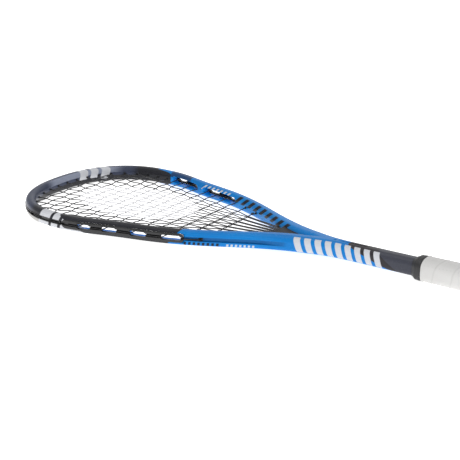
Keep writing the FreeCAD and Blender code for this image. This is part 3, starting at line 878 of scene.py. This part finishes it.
def cap_mesh():
    """Flared cap with a rolled rim and a shallow oval seat for the badge."""
    build = Build()
    outer = [(14.6, 31.2, 26.2), (14.5, 31.9, 26.9), (14.0, 32.3, 27.3), (12.6, 32.7, 27.7),
             (11.4, 32.9, 27.9), (11.2, 32.6, 27.6), (10.8, 32.6, 27.6), (10.6, 33.0, 28.0),
             (9.0, 33.3, 28.3), (6.0, 33.7, 28.7), (3.6, 33.9, 28.9), (2.2, 33.6, 28.6),
             (1.2, 33.0, 28.0), (0.5, 32.0, 27.0), (0.12, 30.9, 25.9), (0.0, 29.8, 24.8)]
    count = 72
    rows = ring_stack(outer, HANDLE_POWER, count)
    build.grid(rows, 0.0, around=True)
    a = np.linspace(0, 2 * math.pi, count + 1)[:-1]
    ovals = []
    for x, ry, rz in ((0.0, 10.6, 8.1), (0.0, 9.5, 7.0), (0.18, 9.25, 6.75), (0.7, 9.2, 6.7)):
        ovals.append(np.column_stack([np.full(count, x), ry * np.cos(a), rz * np.sin(a)]))
    build.grid(np.array([rows[-1]] + ovals), 0.0, around=True)
    build.fan(ovals[-1], (0.7, 0, 0))
    w, d = size_at(GRIP_SIZES, 14.6)
    inner = rounded_ring(14.6, w + 0.2, d + 0.2, HANDLE_POWER, count)
    build.grid(np.array([rows[0], inner]), 0.0, around=True)
    return build


def badge_mesh():
    """Low domed oval badge."""
    build = Build()
    count = 64
    a = np.linspace(0, 2 * math.pi, count + 1)[:-1]
    rows = []
    for x, share in ((0.65, 1.0), (0.3, 1.0), (0.14, 0.985), (0.06, 0.95), (0.035, 0.85),
                     (0.02, 0.6), (0.01, 0.3)):
        rows.append(np.column_stack([np.full(count, x), 9.0 * share * np.cos(a),
                                     6.5 * share * np.sin(a)]))
    build.grid(np.array(rows), 0.0, around=True)
    build.fan(rows[-1], (0.005, 0, 0))
    return build


def yoke_face(y):
    """Front face of the yoke, dished towards the handle in the middle."""
    return YOKE_FACE_X - YOKE_DISH * (1.0 - (y / 24.0) ** 2)


def yoke_mesh():
    """Throat block between the arms, dished in front and rounded on its edges."""
    build = Build()
    rows = []
    stations = [375.0, 369.0, 362.0, 357.0, 352.0, 347.0, 343.0, 340.0, 338.5]
    ys = np.linspace(-1, 1, 25)

    def side_y(x):
        point, out = outline_at(reach_at_x(x))
        width = tube_width(point[:, 0], np.abs(point[:, 1]))
        return float((point - out * (width * 0.8)[:, None])[0, 1])

    half = YOKE_HALF
    heights = [(-1.0, -half), (-0.35, -half), (0.0, -half + 0.35), (0.12, -half + 1.2),
               (0.2, -2.0), (0.22, 0.0), (0.2, 2.0), (0.12, half - 1.2), (0.0, half - 0.35),
               (-0.35, half), (-1.0, half)]
    front_half = side_y(377.0) + 1.0
    for lift, z in heights:
        row = []
        for y in ys * front_half:
            row.append((yoke_face(y) + lift, y, z))
        rows.append(row)
    build.grid(np.array(rows), 0.0)
    for sign in (1, -1):
        sheet = []
        front = np.array(rows[-1 if sign > 0 else 0])
        for k, x in enumerate([None] + stations[1:]):
            if x is None:
                sheet.append(front)
                continue
            row = np.column_stack([np.full(len(ys), x), ys * side_y(x),
                                   np.full(len(ys), sign * half)])
            row[:, 0] = np.minimum(row[:, 0], front[:, 0] - 0.5 * k)
            sheet.append(row)
        build.grid(np.array(sheet), 0.0)
    for index in range(MAIN_COUNT):
        slope = main_slope(index)
        aim = np.array([1.0, slope, 0.0])
        aim /= np.linalg.norm(aim)
        y = slope * (374.5 - FAN_X)
        face = yoke_face(y)
        start = np.array([face, slope * (face - FAN_X), LAYER])
        side = np.cross(aim, (0.0, 0.0, 1.0))
        turns = np.linspace(0, 2 * math.pi, 13)[:-1]
        up = np.array([0.0, 0.0, 1.0])
        ring = np.cos(turns)[:, None] * side + np.sin(turns)[:, None] * up
        shape = [(-0.5, 0.98), (0.45, 0.96), (0.6, 0.86), (0.6, 0.7), (0.1, 0.66)]
        build.grid(np.array([start + aim * d + ring * r for d, r in shape]), 0.0, around=True)
    return build


# ---- materials ----
class Nodes:
    """Short names for building one node material."""

    def __init__(self, name):
        self.material = bpy.data.materials.new(name)
        self.material.use_nodes = True
        self.tree = self.material.node_tree
        self.shader = self.tree.nodes["Principled BSDF"]
        self.position = self.new("ShaderNodeTexCoord").outputs["Object"]
        parts = self.new("ShaderNodeSeparateXYZ", {0: self.position})
        self.x = self.math("MULTIPLY", parts.outputs[0], 1000.0)
        self.y = self.math("MULTIPLY", parts.outputs[1], 1000.0)
        self.z = self.math("MULTIPLY", parts.outputs[2], 1000.0)

    def new(self, kind, inputs=None, **options):
        node = self.tree.nodes.new(kind)
        for key, value in options.items():
            setattr(node, key, value)
        for key, value in (inputs or {}).items():
            if isinstance(value, bpy.types.NodeSocket):
                self.tree.links.new(value, node.inputs[key])
            else:
                node.inputs[key].default_value = value
        return node

    def math(self, operation, a, b=0.0, c=0.0):
        node = self.new("ShaderNodeMath", {0: a, 1: b}, operation=operation)
        if operation in ("MULTIPLY_ADD", "WRAP"):
            self.join(c, node.inputs[2])
        return node.outputs[0]

    def join(self, value, socket):
        if isinstance(value, bpy.types.NodeSocket):
            self.tree.links.new(value, socket)
        else:
            socket.default_value = value

    def add(self, a, b):
        return self.math("ADD", a, b)

    def times(self, a, b):
        return self.math("MULTIPLY", a, b)

    def over(self, value, edge, soft=0.25):
        """0 below the edge and 1 above it, with a soft border."""
        d = self.math("SUBTRACT", value, edge)
        node = self.new("ShaderNodeMapRange", {0: d, 1: -soft, 2: soft},
                        interpolation_type="SMOOTHSTEP")
        return node.outputs[0]

    def under(self, value, edge, soft=0.25):
        return self.math("SUBTRACT", 1.0, self.over(value, edge, soft))

    def between(self, value, low, high, soft=0.25):
        return self.times(self.over(value, low, soft), self.under(value, high, soft))

    def both(self, *masks):
        result = masks[0]
        for mask in masks[1:]:
            result = self.times(result, mask)
        return result

    def either(self, *masks):
        result = masks[0]
        for mask in masks[1:]:
            result = self.math("MAXIMUM", result, mask)
        return result

    def attribute(self, name):
        return self.new("ShaderNodeAttribute", attribute_name=name).outputs["Fac"]

    def noise(self, scale, detail=3.0, stretch=None, rough=0.5):
        where = self.position
        if stretch:
            where = self.new("ShaderNodeMapping", {0: where, 3: stretch}).outputs[0]
        node = self.new("ShaderNodeTexNoise", {"Vector": where, "Scale": scale,
                                               "Detail": detail, "Roughness": rough})
        return node.outputs["Fac"]

    def mix(self, share, a, b):
        node = self.new("ShaderNodeMix", data_type="RGBA")
        self.join(share, node.inputs["Factor"])
        for key, value in (("A", a), ("B", b)):
            for socket in node.inputs:
                if socket.name == key and socket.type == "RGBA":
                    if isinstance(value, tuple):
                        value = (*value[:3], 1.0)
                    self.join(value, socket)
        return [o for o in node.outputs if o.type == "RGBA"][0]

    def span(self, value, low, high, a=0.0, b=1.0):
        node = self.new("ShaderNodeMapRange", {0: value, 1: low, 2: high, 3: a, 4: b})
        return node.outputs[0]

    def bump(self, *layers):
        """Each layer is (height, distance in millimetres)."""
        last = None
        for height, distance in layers:
            node = self.new("ShaderNodeBump", {"Distance": distance * 0.001, "Strength": 1.0})
            self.join(height, node.inputs["Height"])
            if last is not None:
                self.tree.links.new(last, node.inputs["Normal"])
            last = node.outputs[0]
        self.tree.links.new(last, self.shader.inputs["Normal"])

    def set(self, name, value):
        self.join(value, self.shader.inputs[name])

    def done(self, color, roughness, **fixed):
        self.set("Base Color", (*color, 1.0) if isinstance(color, tuple) else color)
        self.set("Roughness", roughness)
        for key, value in fixed.items():
            self.shader.inputs[key.replace("_", " ")].default_value = value
        return self.material


BLUE = (0.001, 0.165, 0.5)
DEEP_BLUE = (0.014, 0.055, 0.15)
CHARCOAL = (0.018, 0.018, 0.022)
SLATE = (0.045, 0.055, 0.095)
DECAL = (0.56, 0.57, 0.6)


def slanted(n, value, height, lean, start, pitch, count, share):
    """Row of leaning bars along value; height shifts them by lean."""
    moved = n.add(value, n.times(height, lean))
    total = None
    for k in range(count):
        low = start + k * pitch
        bar = n.between(moved, low, low + pitch * share, 0.3)
        total = bar if total is None else n.either(total, bar)
    return total


def paint_material():
    """Lacquer over blue, near-black and slate panels, with plain bars for marks."""
    n = Nodes("frame_paint")
    across = n.attribute("across")
    left = n.over(n.y, 0.0, 0.05)
    right = n.math("SUBTRACT", 1.0, left)

    edge_left = n.math("MULTIPLY_ADD", n.z, -0.8, 458.5)
    dark_left = n.times(left, n.over(n.x, edge_left, 0.4))
    edge_right = n.add(583.0, n.times(n.over(across, -0.55, 0.35), 22.0))
    dark_right = n.times(right, n.over(n.x, edge_right, 0.4))
    tunnel = n.over(across, 1.6, 0.3)
    dark_head = n.times(n.either(dark_left, dark_right), n.math("SUBTRACT", 1.0, tunnel))
    mid_right = n.both(right, n.under(across, 0.55, 0.15), n.over(n.z, 3.2, 0.4),
                       n.between(n.x, 549.0, 583.0, 0.4))
    shaft_edge = n.math("MULTIPLY_ADD", n.z, 3.0, 262.0)
    dark_shaft = n.under(n.x, shaft_edge, 0.4)
    facet_edge = n.math("MULTIPLY_ADD", n.z, 1.5, 241.0)
    facet = n.under(n.x, facet_edge, 0.4)

    drift = n.noise(9.0, 2.0)
    blue = n.mix(n.span(drift, 0.35, 0.65, 0.0, 1.0), BLUE, (0.002, 0.2, 0.57))
    charcoal = n.mix(n.span(n.noise(40.0), 0.3, 0.7), CHARCOAL, (0.024, 0.024, 0.029))
    tip = n.both(n.over(n.x, 632.0, 6.0), n.over(n.z, -1.0, 0.6))
    head = n.mix(n.times(tip, 0.85), charcoal, SLATE)
    # Painted reflection: a pale blue-grey band on the inner upper face of the tip, standing in for
    # the lacquer mirroring the light.
    tip_painted_reflection = n.both(n.over(n.x, 650.0, 8.0), n.under(across, -0.35, 0.2), n.over(n.z, 2.6, 0.5),
                    n.under(n.y, 20.0, 10.0))
    head = n.mix(n.times(tip_painted_reflection, 0.8), head, (0.3, 0.33, 0.42))
    color = n.mix(dark_head, blue, head)
    color = n.mix(mid_right, color, DEEP_BLUE)
    color = n.mix(tunnel, color, (0.01, 0.34, 0.9))
    shaft = n.mix(facet, (0.03, 0.027, 0.029), (0.05, 0.052, 0.068))
    color = n.mix(dark_shaft, color, shaft)
    # Painted shade: the open groove along the arms is darkened towards deep blue.
    groove_painted_shade = n.both(n.between(n.z, -2.3, 2.3, 0.2), n.over(across, 0.6, 0.1),
                    n.between(n.x, 352.0, 470.0, 3.0))
    color = n.mix(n.times(groove_painted_shade, 0.45), color, (0.002, 0.05, 0.16))

    wedge_low = n.math("MULTIPLY_ADD", n.z, 2.0, 571.0)
    near_patch = n.both(left, n.over(n.x, wedge_low, 0.4),
                        n.under(n.add(n.x, n.times(n.z, 0.4)), 617.0, 0.4),
                        n.over(across, -0.6, 0.1))
    near_stripes = slanted(n, n.x, n.z, 0.4, 584.0, 13.0, 2, 0.3)
    near_patch = n.times(near_patch, n.math("SUBTRACT", 1.0, near_stripes))
    # Painted reflection: a pale cream band on the lower outer face below the groove, near the tip.
    low_painted_reflection = n.both(n.under(n.z, -2.6, 0.3), n.over(n.z, -7.4, 0.3), n.over(across, 0.25, 0.1),
                       n.over(n.x, 606.0, 0.5), n.over(n.y, -36.0, 2.0))
    far_patch = n.both(right, n.over(n.x, 640.0), n.under(across, 0.5, 0.1),
                       n.between(n.math("MULTIPLY_ADD", n.z, 0.35, n.y), -65.0, -28.0, 0.3),
                       n.over(n.z, n.span(n.y, -62.0, -50.0, -5.5, -1.5), 0.3))
    far_stripes = slanted(n, n.y, n.z, 0.35, -56.0, 13.0, 2, 0.3)
    far_patch = n.times(far_patch, n.math("SUBTRACT", 1.0, far_stripes))

    side_bars = n.both(left, n.over(across, 0.3, 0.05), n.between(n.z, -7.0, 8.2, 0.25),
                       slanted(n, n.x, n.z, -0.3, 249.0, 10.8, 9, 0.62))
    arm_white = n.both(left, n.over(across, 0.25, 0.05), n.between(n.z, -6.9, -3.8, 0.2),
                       slanted(n, n.x, n.z, 0.3, 380.0, 4.0, 7, 0.5))
    far_white = n.both(right, n.under(across, 0.1, 0.1), n.between(n.z, 1.6, 7.4, 0.25),
                       slanted(n, n.x, n.z, 1.2, 488.0, 6.6, 7, 0.46))
    white = n.either(near_patch, far_patch, side_bars, arm_white, far_white)
    arm_dark = n.both(left, n.over(across, 0.25, 0.05), n.between(n.z, -7.2, -3.2, 0.2),
                      slanted(n, n.x, n.z, 0.3, 413.0, 4.4, 8, 0.55))
    far_dark = n.both(right, n.under(across, 0.1, 0.1), n.between(n.z, 0.2, 8.0, 0.25),
                      slanted(n, n.x, n.z, 1.2, 376.0, 11.4, 9, 0.5))
    # Lays on the painted reflection band at the lower tip.
    color = n.mix(n.times(low_painted_reflection, 0.8), color, (0.5, 0.49, 0.47))
    color = n.mix(white, color, DECAL)
    color = n.mix(n.either(arm_dark, far_dark), color, (0.012, 0.013, 0.018))

    speck = n.noise(1500.0, 2.0)
    color = n.mix(n.span(speck, 0.55, 0.8, 0.0, 0.1), color, (0.2, 0.3, 0.42))
    wear_and_seam_shade = n.noise(22.0, 5.0)
    roughness = n.add(n.span(wear_and_seam_shade, 0.3, 0.7, 0.2, 0.34), n.times(white, 0.12))
    n.bump((n.noise(260.0, 2.0), 0.05), (white, 0.02))
    return n.done(color, roughness, Coat_Weight=0.05, Coat_Roughness=0.08, IOR=1.5,
                  Specular_IOR_Level=0.14)


def moulded_material(name, color, light, rough=(0.3, 0.5), grain=900.0, depth=0.04):
    """Moulded nylon: fine spark grain, faint flow marks and rubbed patches."""
    n = Nodes(name)
    flow = n.noise(30.0, 4.0, (1.0, 3.0, 3.0))
    mixed = n.mix(n.span(flow, 0.3, 0.7), color, light)
    n.bump((n.noise(grain, 3.0), depth), (n.noise(60.0, 2.0), depth * 1.5))
    return n.done(mixed, n.span(n.noise(45.0, 5.0), 0.3, 0.7, *rough), IOR=1.5)


def string_material():
    """Twisted nylon string with a pale oval, patchy with wear, in the middle of the head."""
    n = Nodes("string_stencil")
    u = n.times(n.add(n.x, -560.0), 1.0 / 76.0)
    v = n.times(n.y, 1.0 / 50.0)
    oval = n.under(n.add(n.math("POWER", u, 2.0), n.math("POWER", v, 2.0)), 1.0, 0.03)
    patchy = n.span(n.noise(700.0, 3.0), 0.28, 0.4)
    zone = n.times(oval, patchy)
    black = n.mix(n.span(n.noise(90.0), 0.35, 0.65), (0.008, 0.008, 0.009), (0.02, 0.02, 0.022))
    color = n.mix(zone, black, (0.62, 0.62, 0.64))
    n.bump((n.noise(2200.0, 2.0), 0.03))
    return n.done(color, n.add(n.span(n.noise(300.0), 0.3, 0.7, 0.24, 0.42),
                               n.times(zone, 0.25)), IOR=1.5)


def grip_material():
    """Soft white wrap: fine leather-like grain, small punched dots, painted shade along the seams.
    """
    n = Nodes("grip_wrap_soft")
    seam = n.attribute("across")
    shade = n.mix(n.span(n.noise(26.0, 5.0), 0.3, 0.75), (0.62, 0.615, 0.605), (0.54, 0.535, 0.525))
    # Darkens the wrap along its seams: painted shade.
    color = n.mix(n.times(seam, 0.3), shade, (0.36, 0.355, 0.34))
    cells = n.new("ShaderNodeTexVoronoi", {"Vector": n.position, "Scale": 520.0})
    dots = n.new("ShaderNodeTexVoronoi", {"Vector": n.position, "Scale": 260.0,
                                          "Randomness": 0.12})
    pits = n.under(dots.outputs["Distance"], 0.2, 0.06)
    color = n.mix(n.times(pits, 0.1), color, (0.34, 0.335, 0.32))
    n.bump((cells.outputs["Distance"], 0.09), (n.math("MULTIPLY", pits, -1.0), 0.1),
           (n.noise(70.0, 3.0), 0.25))
    return n.done(color, n.span(n.noise(120.0), 0.3, 0.7, 0.5, 0.68), IOR=1.45,
                  Subsurface_Weight=0.0)


def badge_material():
    """Plain domed badge: blue disc, pale ring and dark border."""
    n = Nodes("butt_badge_dome")
    r = n.math("SQRT", n.add(n.math("POWER", n.times(n.y, 1 / 9.0), 2.0),
                             n.math("POWER", n.times(n.z, 1 / 6.5), 2.0)))
    ring = n.between(r, 0.58, 0.7, 0.012)
    border = n.over(r, 0.9, 0.012)
    color = n.mix(n.span(n.noise(80.0), 0.3, 0.7), BLUE, (0.004, 0.22, 0.56))
    color = n.mix(ring, color, DECAL)
    color = n.mix(border, color, CHARCOAL)
    n.bump((n.noise(300.0), 0.02))
    return n.done(color, n.span(n.noise(60.0, 4.0), 0.3, 0.7, 0.12, 0.25), IOR=1.5,
                  Coat_Weight=0.6, Coat_Roughness=0.05)


def foam_material(name, color, light):
    n = Nodes(name)
    cells = n.new("ShaderNodeTexVoronoi", {"Vector": n.position, "Scale": 900.0})
    mixed = n.mix(n.span(n.noise(160.0, 4.0), 0.3, 0.7), color, light)
    mixed = n.mix(n.span(cells.outputs["Distance"], 0.0, 0.6, 0.3, 0.0), mixed, (0.02, 0.02, 0.02))
    n.bump((cells.outputs["Distance"], 0.12))
    return n.done(mixed, n.span(n.noise(200.0), 0.3, 0.7, 0.75, 0.95), IOR=1.4)


def steel_material():
    n = Nodes("staple_steel_wire")
    scratch = n.noise(400.0, 4.0, (1.0, 1.0, 8.0))
    color = n.mix(n.span(scratch, 0.3, 0.7), (0.42, 0.43, 0.45), (0.62, 0.63, 0.65))
    n.bump((scratch, 0.01))
    return n.done(color, n.span(n.noise(250.0), 0.3, 0.7, 0.25, 0.42), Metallic=1.0)


# ---- pieces ----
paint = paint_material()
trim_black = moulded_material("trim_nylon", (0.007, 0.007, 0.008), (0.013, 0.013, 0.015),
                              (0.12, 0.24))
yoke_black = moulded_material("yoke_nylon", (0.004, 0.004, 0.005), (0.008, 0.008, 0.009),
                              (0.5, 0.68))
cap_black = moulded_material("cap_nylon", (0.014, 0.014, 0.016), (0.024, 0.024, 0.027),
                             (0.35, 0.5))
rubber = moulded_material("collar_rubber_skin", (0.009, 0.009, 0.01), (0.018, 0.018, 0.02),
                          (0.38, 0.55), 600.0, 0.05)
tape_black = moulded_material("tape_vinyl_skin", (0.02, 0.02, 0.022), (0.03, 0.03, 0.033))
string_skin = string_material()
pallet_foam = foam_material("pallet_foam_skin", (0.2, 0.18, 0.15), (0.26, 0.235, 0.2))
plug_foam = foam_material("plug_foam_skin", (0.3, 0.28, 0.25), (0.36, 0.34, 0.3))
steel = steel_material()

body = frame_mesh().make("racket_frame", "frame_paint", paint)
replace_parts(body, "frame")

yoke = yoke_mesh().make("throat_yoke_block", "dark_plastic", yoke_black, sharp=50.0)
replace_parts(yoke, "throat_yoke")

bumper = Build()
grommet_strip(bumper, -TIP_STRIP_REACH, TIP_STRIP_REACH)
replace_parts(bumper.make("head_bumper", "black_plastic", trim_black), "head_bumper_strip")
for side, name in ((1, "left"), (-1, "right")):
    strip = Build()
    grommet_strip(strip, side * (TIP_STRIP_REACH + 2.0), side * (insert_ends(side)[0] - 2.15))
    piece = strip.make(name + "_side_strip", "black_plastic", trim_black)
    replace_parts(piece, name + "_side_grommet_strip")
    plate = Build()
    insert_plate(plate, side)
    piece = plate.make(name + "_port_plate", "black_plastic", trim_black, sharp=55.0)
    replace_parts(piece, name + "_port_insert")

sleeves = Build()
for side, x in ((1, CROSS_X[15]), (-1, CROSS_X[14]), (-1, CROSS_X[15])):
    t = side * reach_at_x(x)
    band(sleeves, split([t - 2.2, t + 2.2], 1.1), strip_profile(1.5, 0.05, STRIP_SEAT, 1.1,
                                                           CHANNEL_DEPTH))
    for place, aim, height in string_ends():
        if abs(place - t) < 1.0:
            barrel(sleeves, place, aim, height)
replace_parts(sleeves.make("arm_sleeves", "black_plastic", trim_black), "arm_grommets")

mains = Build()
tube_along(mains, round_path(mains_path()))
for index in (0, MAIN_COUNT - 1):
    slope = main_slope(index)
    knot(mains, (385.0, slope * (385.0 - FAN_X), LAYER), (1.0, slope, 0.0))
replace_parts(mains.make("main_strings", "string_polymer", string_skin), "main_string")

crosses = Build()
tube_along(crosses, round_path(crosses_path()))
knot(crosses, (CROSS_X[0] - 2.0, -4.0 * FAN_SLOPE * (CROSS_X[0] - FAN_X), 0.0), (1, -0.18, 0))
knot(crosses, (CROSS_X[-1] + 2.0, -43.0, -LAYER), (0.3, 1, 0))
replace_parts(crosses.make("cross_strings", "string_polymer", string_skin), "cross_string")

grip = grip_mesh().make("wound_grip", "grip_polymer", grip_material(), sharp=60.0)
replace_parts(grip, "grip_wrap")
collar = collar_mesh().make("grip_collar", "collar_rubber", rubber, sharp=60.0)
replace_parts(collar, "rubber_collar")
cap = cap_mesh().make("handle_cap", "cap_plastic", cap_black, sharp=45.0)
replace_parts(cap, "butt_cap")
badge = badge_mesh().make("cap_badge", "badge_vinyl", badge_material(), sharp=60.0)
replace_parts(badge, "butt_badge")

for node, material in (("handle_pallet", pallet_foam), ("shaft_plug", plug_foam),
                       ("finishing_tape", tape_black), ("butt_cap_staples", steel),
                       ("grip_staple", steel)):
    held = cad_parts[node]
    held.data.materials.clear()
    held.data.materials.append(material)

# ---- floor, light and camera ----
low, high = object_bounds()
FLOOR_TILT = math.atan2(high.z - 0.0086, 0.67)
floor_mesh = bpy.data.meshes.new("floor")
reach = 6.0
floor_mesh.from_pydata([(-reach, -reach, 0), (reach, -reach, 0), (reach, reach, 0),
                        (-reach, reach, 0)], [], [(0, 1, 2, 3)])
floor = bpy.data.objects.new("floor", floor_mesh)
floor.location = (0.01, 0.0, low.z - 0.0004)
floor.rotation_euler = (0.0, -FLOOR_TILT, 0.0)
bpy.context.scene.collection.objects.link(floor)
pale = bpy.data.materials.new("floor_pale")
pale.use_nodes = True
surface = pale.node_tree.nodes["Principled BSDF"].inputs
surface["Base Color"].default_value = (0.8, 0.8, 0.8, 1)
surface["Roughness"].default_value = 0.9
surface["Emission Color"].default_value = (1.0, 1.0, 1.0, 1.0)
surface["Emission Strength"].default_value = 0.88
floor_mesh.materials.append(pale)

world = bpy.data.worlds.new("studio")
world.use_nodes = True
world.node_tree.nodes["Background"].inputs[0].default_value = (1.0, 1.0, 1.0, 1)
world.node_tree.nodes["Background"].inputs[1].default_value = 0.6
bpy.context.scene.world = world
bpy.context.scene.view_settings.view_transform = "Standard"


def area_light(name, place, aim, size, power):
    data = bpy.data.lights.new(name, "AREA")
    data.shape = "RECTANGLE"
    data.size, data.size_y = size
    data.energy = power
    light = bpy.data.objects.new(name, data)
    light.location = place
    light.rotation_euler = (Vector(aim) - Vector(place)).to_track_quat("-Z", "Y").to_euler()
    bpy.context.scene.collection.objects.link(light)


MIDDLE = (0.42, 0.0, 0.0)
area_light("overhead", (0.5, 0.2, 2.2), MIDDLE, (2.6, 2.0), 20.0)
area_light("behind", (1.2, -2.4, 1.0), MIDDLE, (3.0, 0.8), 3.0)
area_light("front", (-0.8, 2.2, 1.2), MIDDLE, (1.6, 1.0), 8.0)

camera_data = bpy.data.cameras.new("camera")
camera_data.sensor_width = 36.0
camera_data.lens = 90.861
camera = bpy.data.objects.new("camera", camera_data)
right = Vector((-0.832585, -0.553778, 0.011542)).normalized()
down = Vector((-0.19495, 0.273468, -0.941918))
down = (down - right * down.dot(right)).normalized()
back = right.cross(-down)
camera.matrix_world = Matrix((
    (right.x, -down.x, back.x, -0.218953),
    (right.y, -down.y, back.y, 0.991257),
    (right.z, -down.z, back.z, 0.415536),
    (0, 0, 0, 1)))
bpy.context.scene.collection.objects.link(camera)
bpy.context.scene.camera = camera
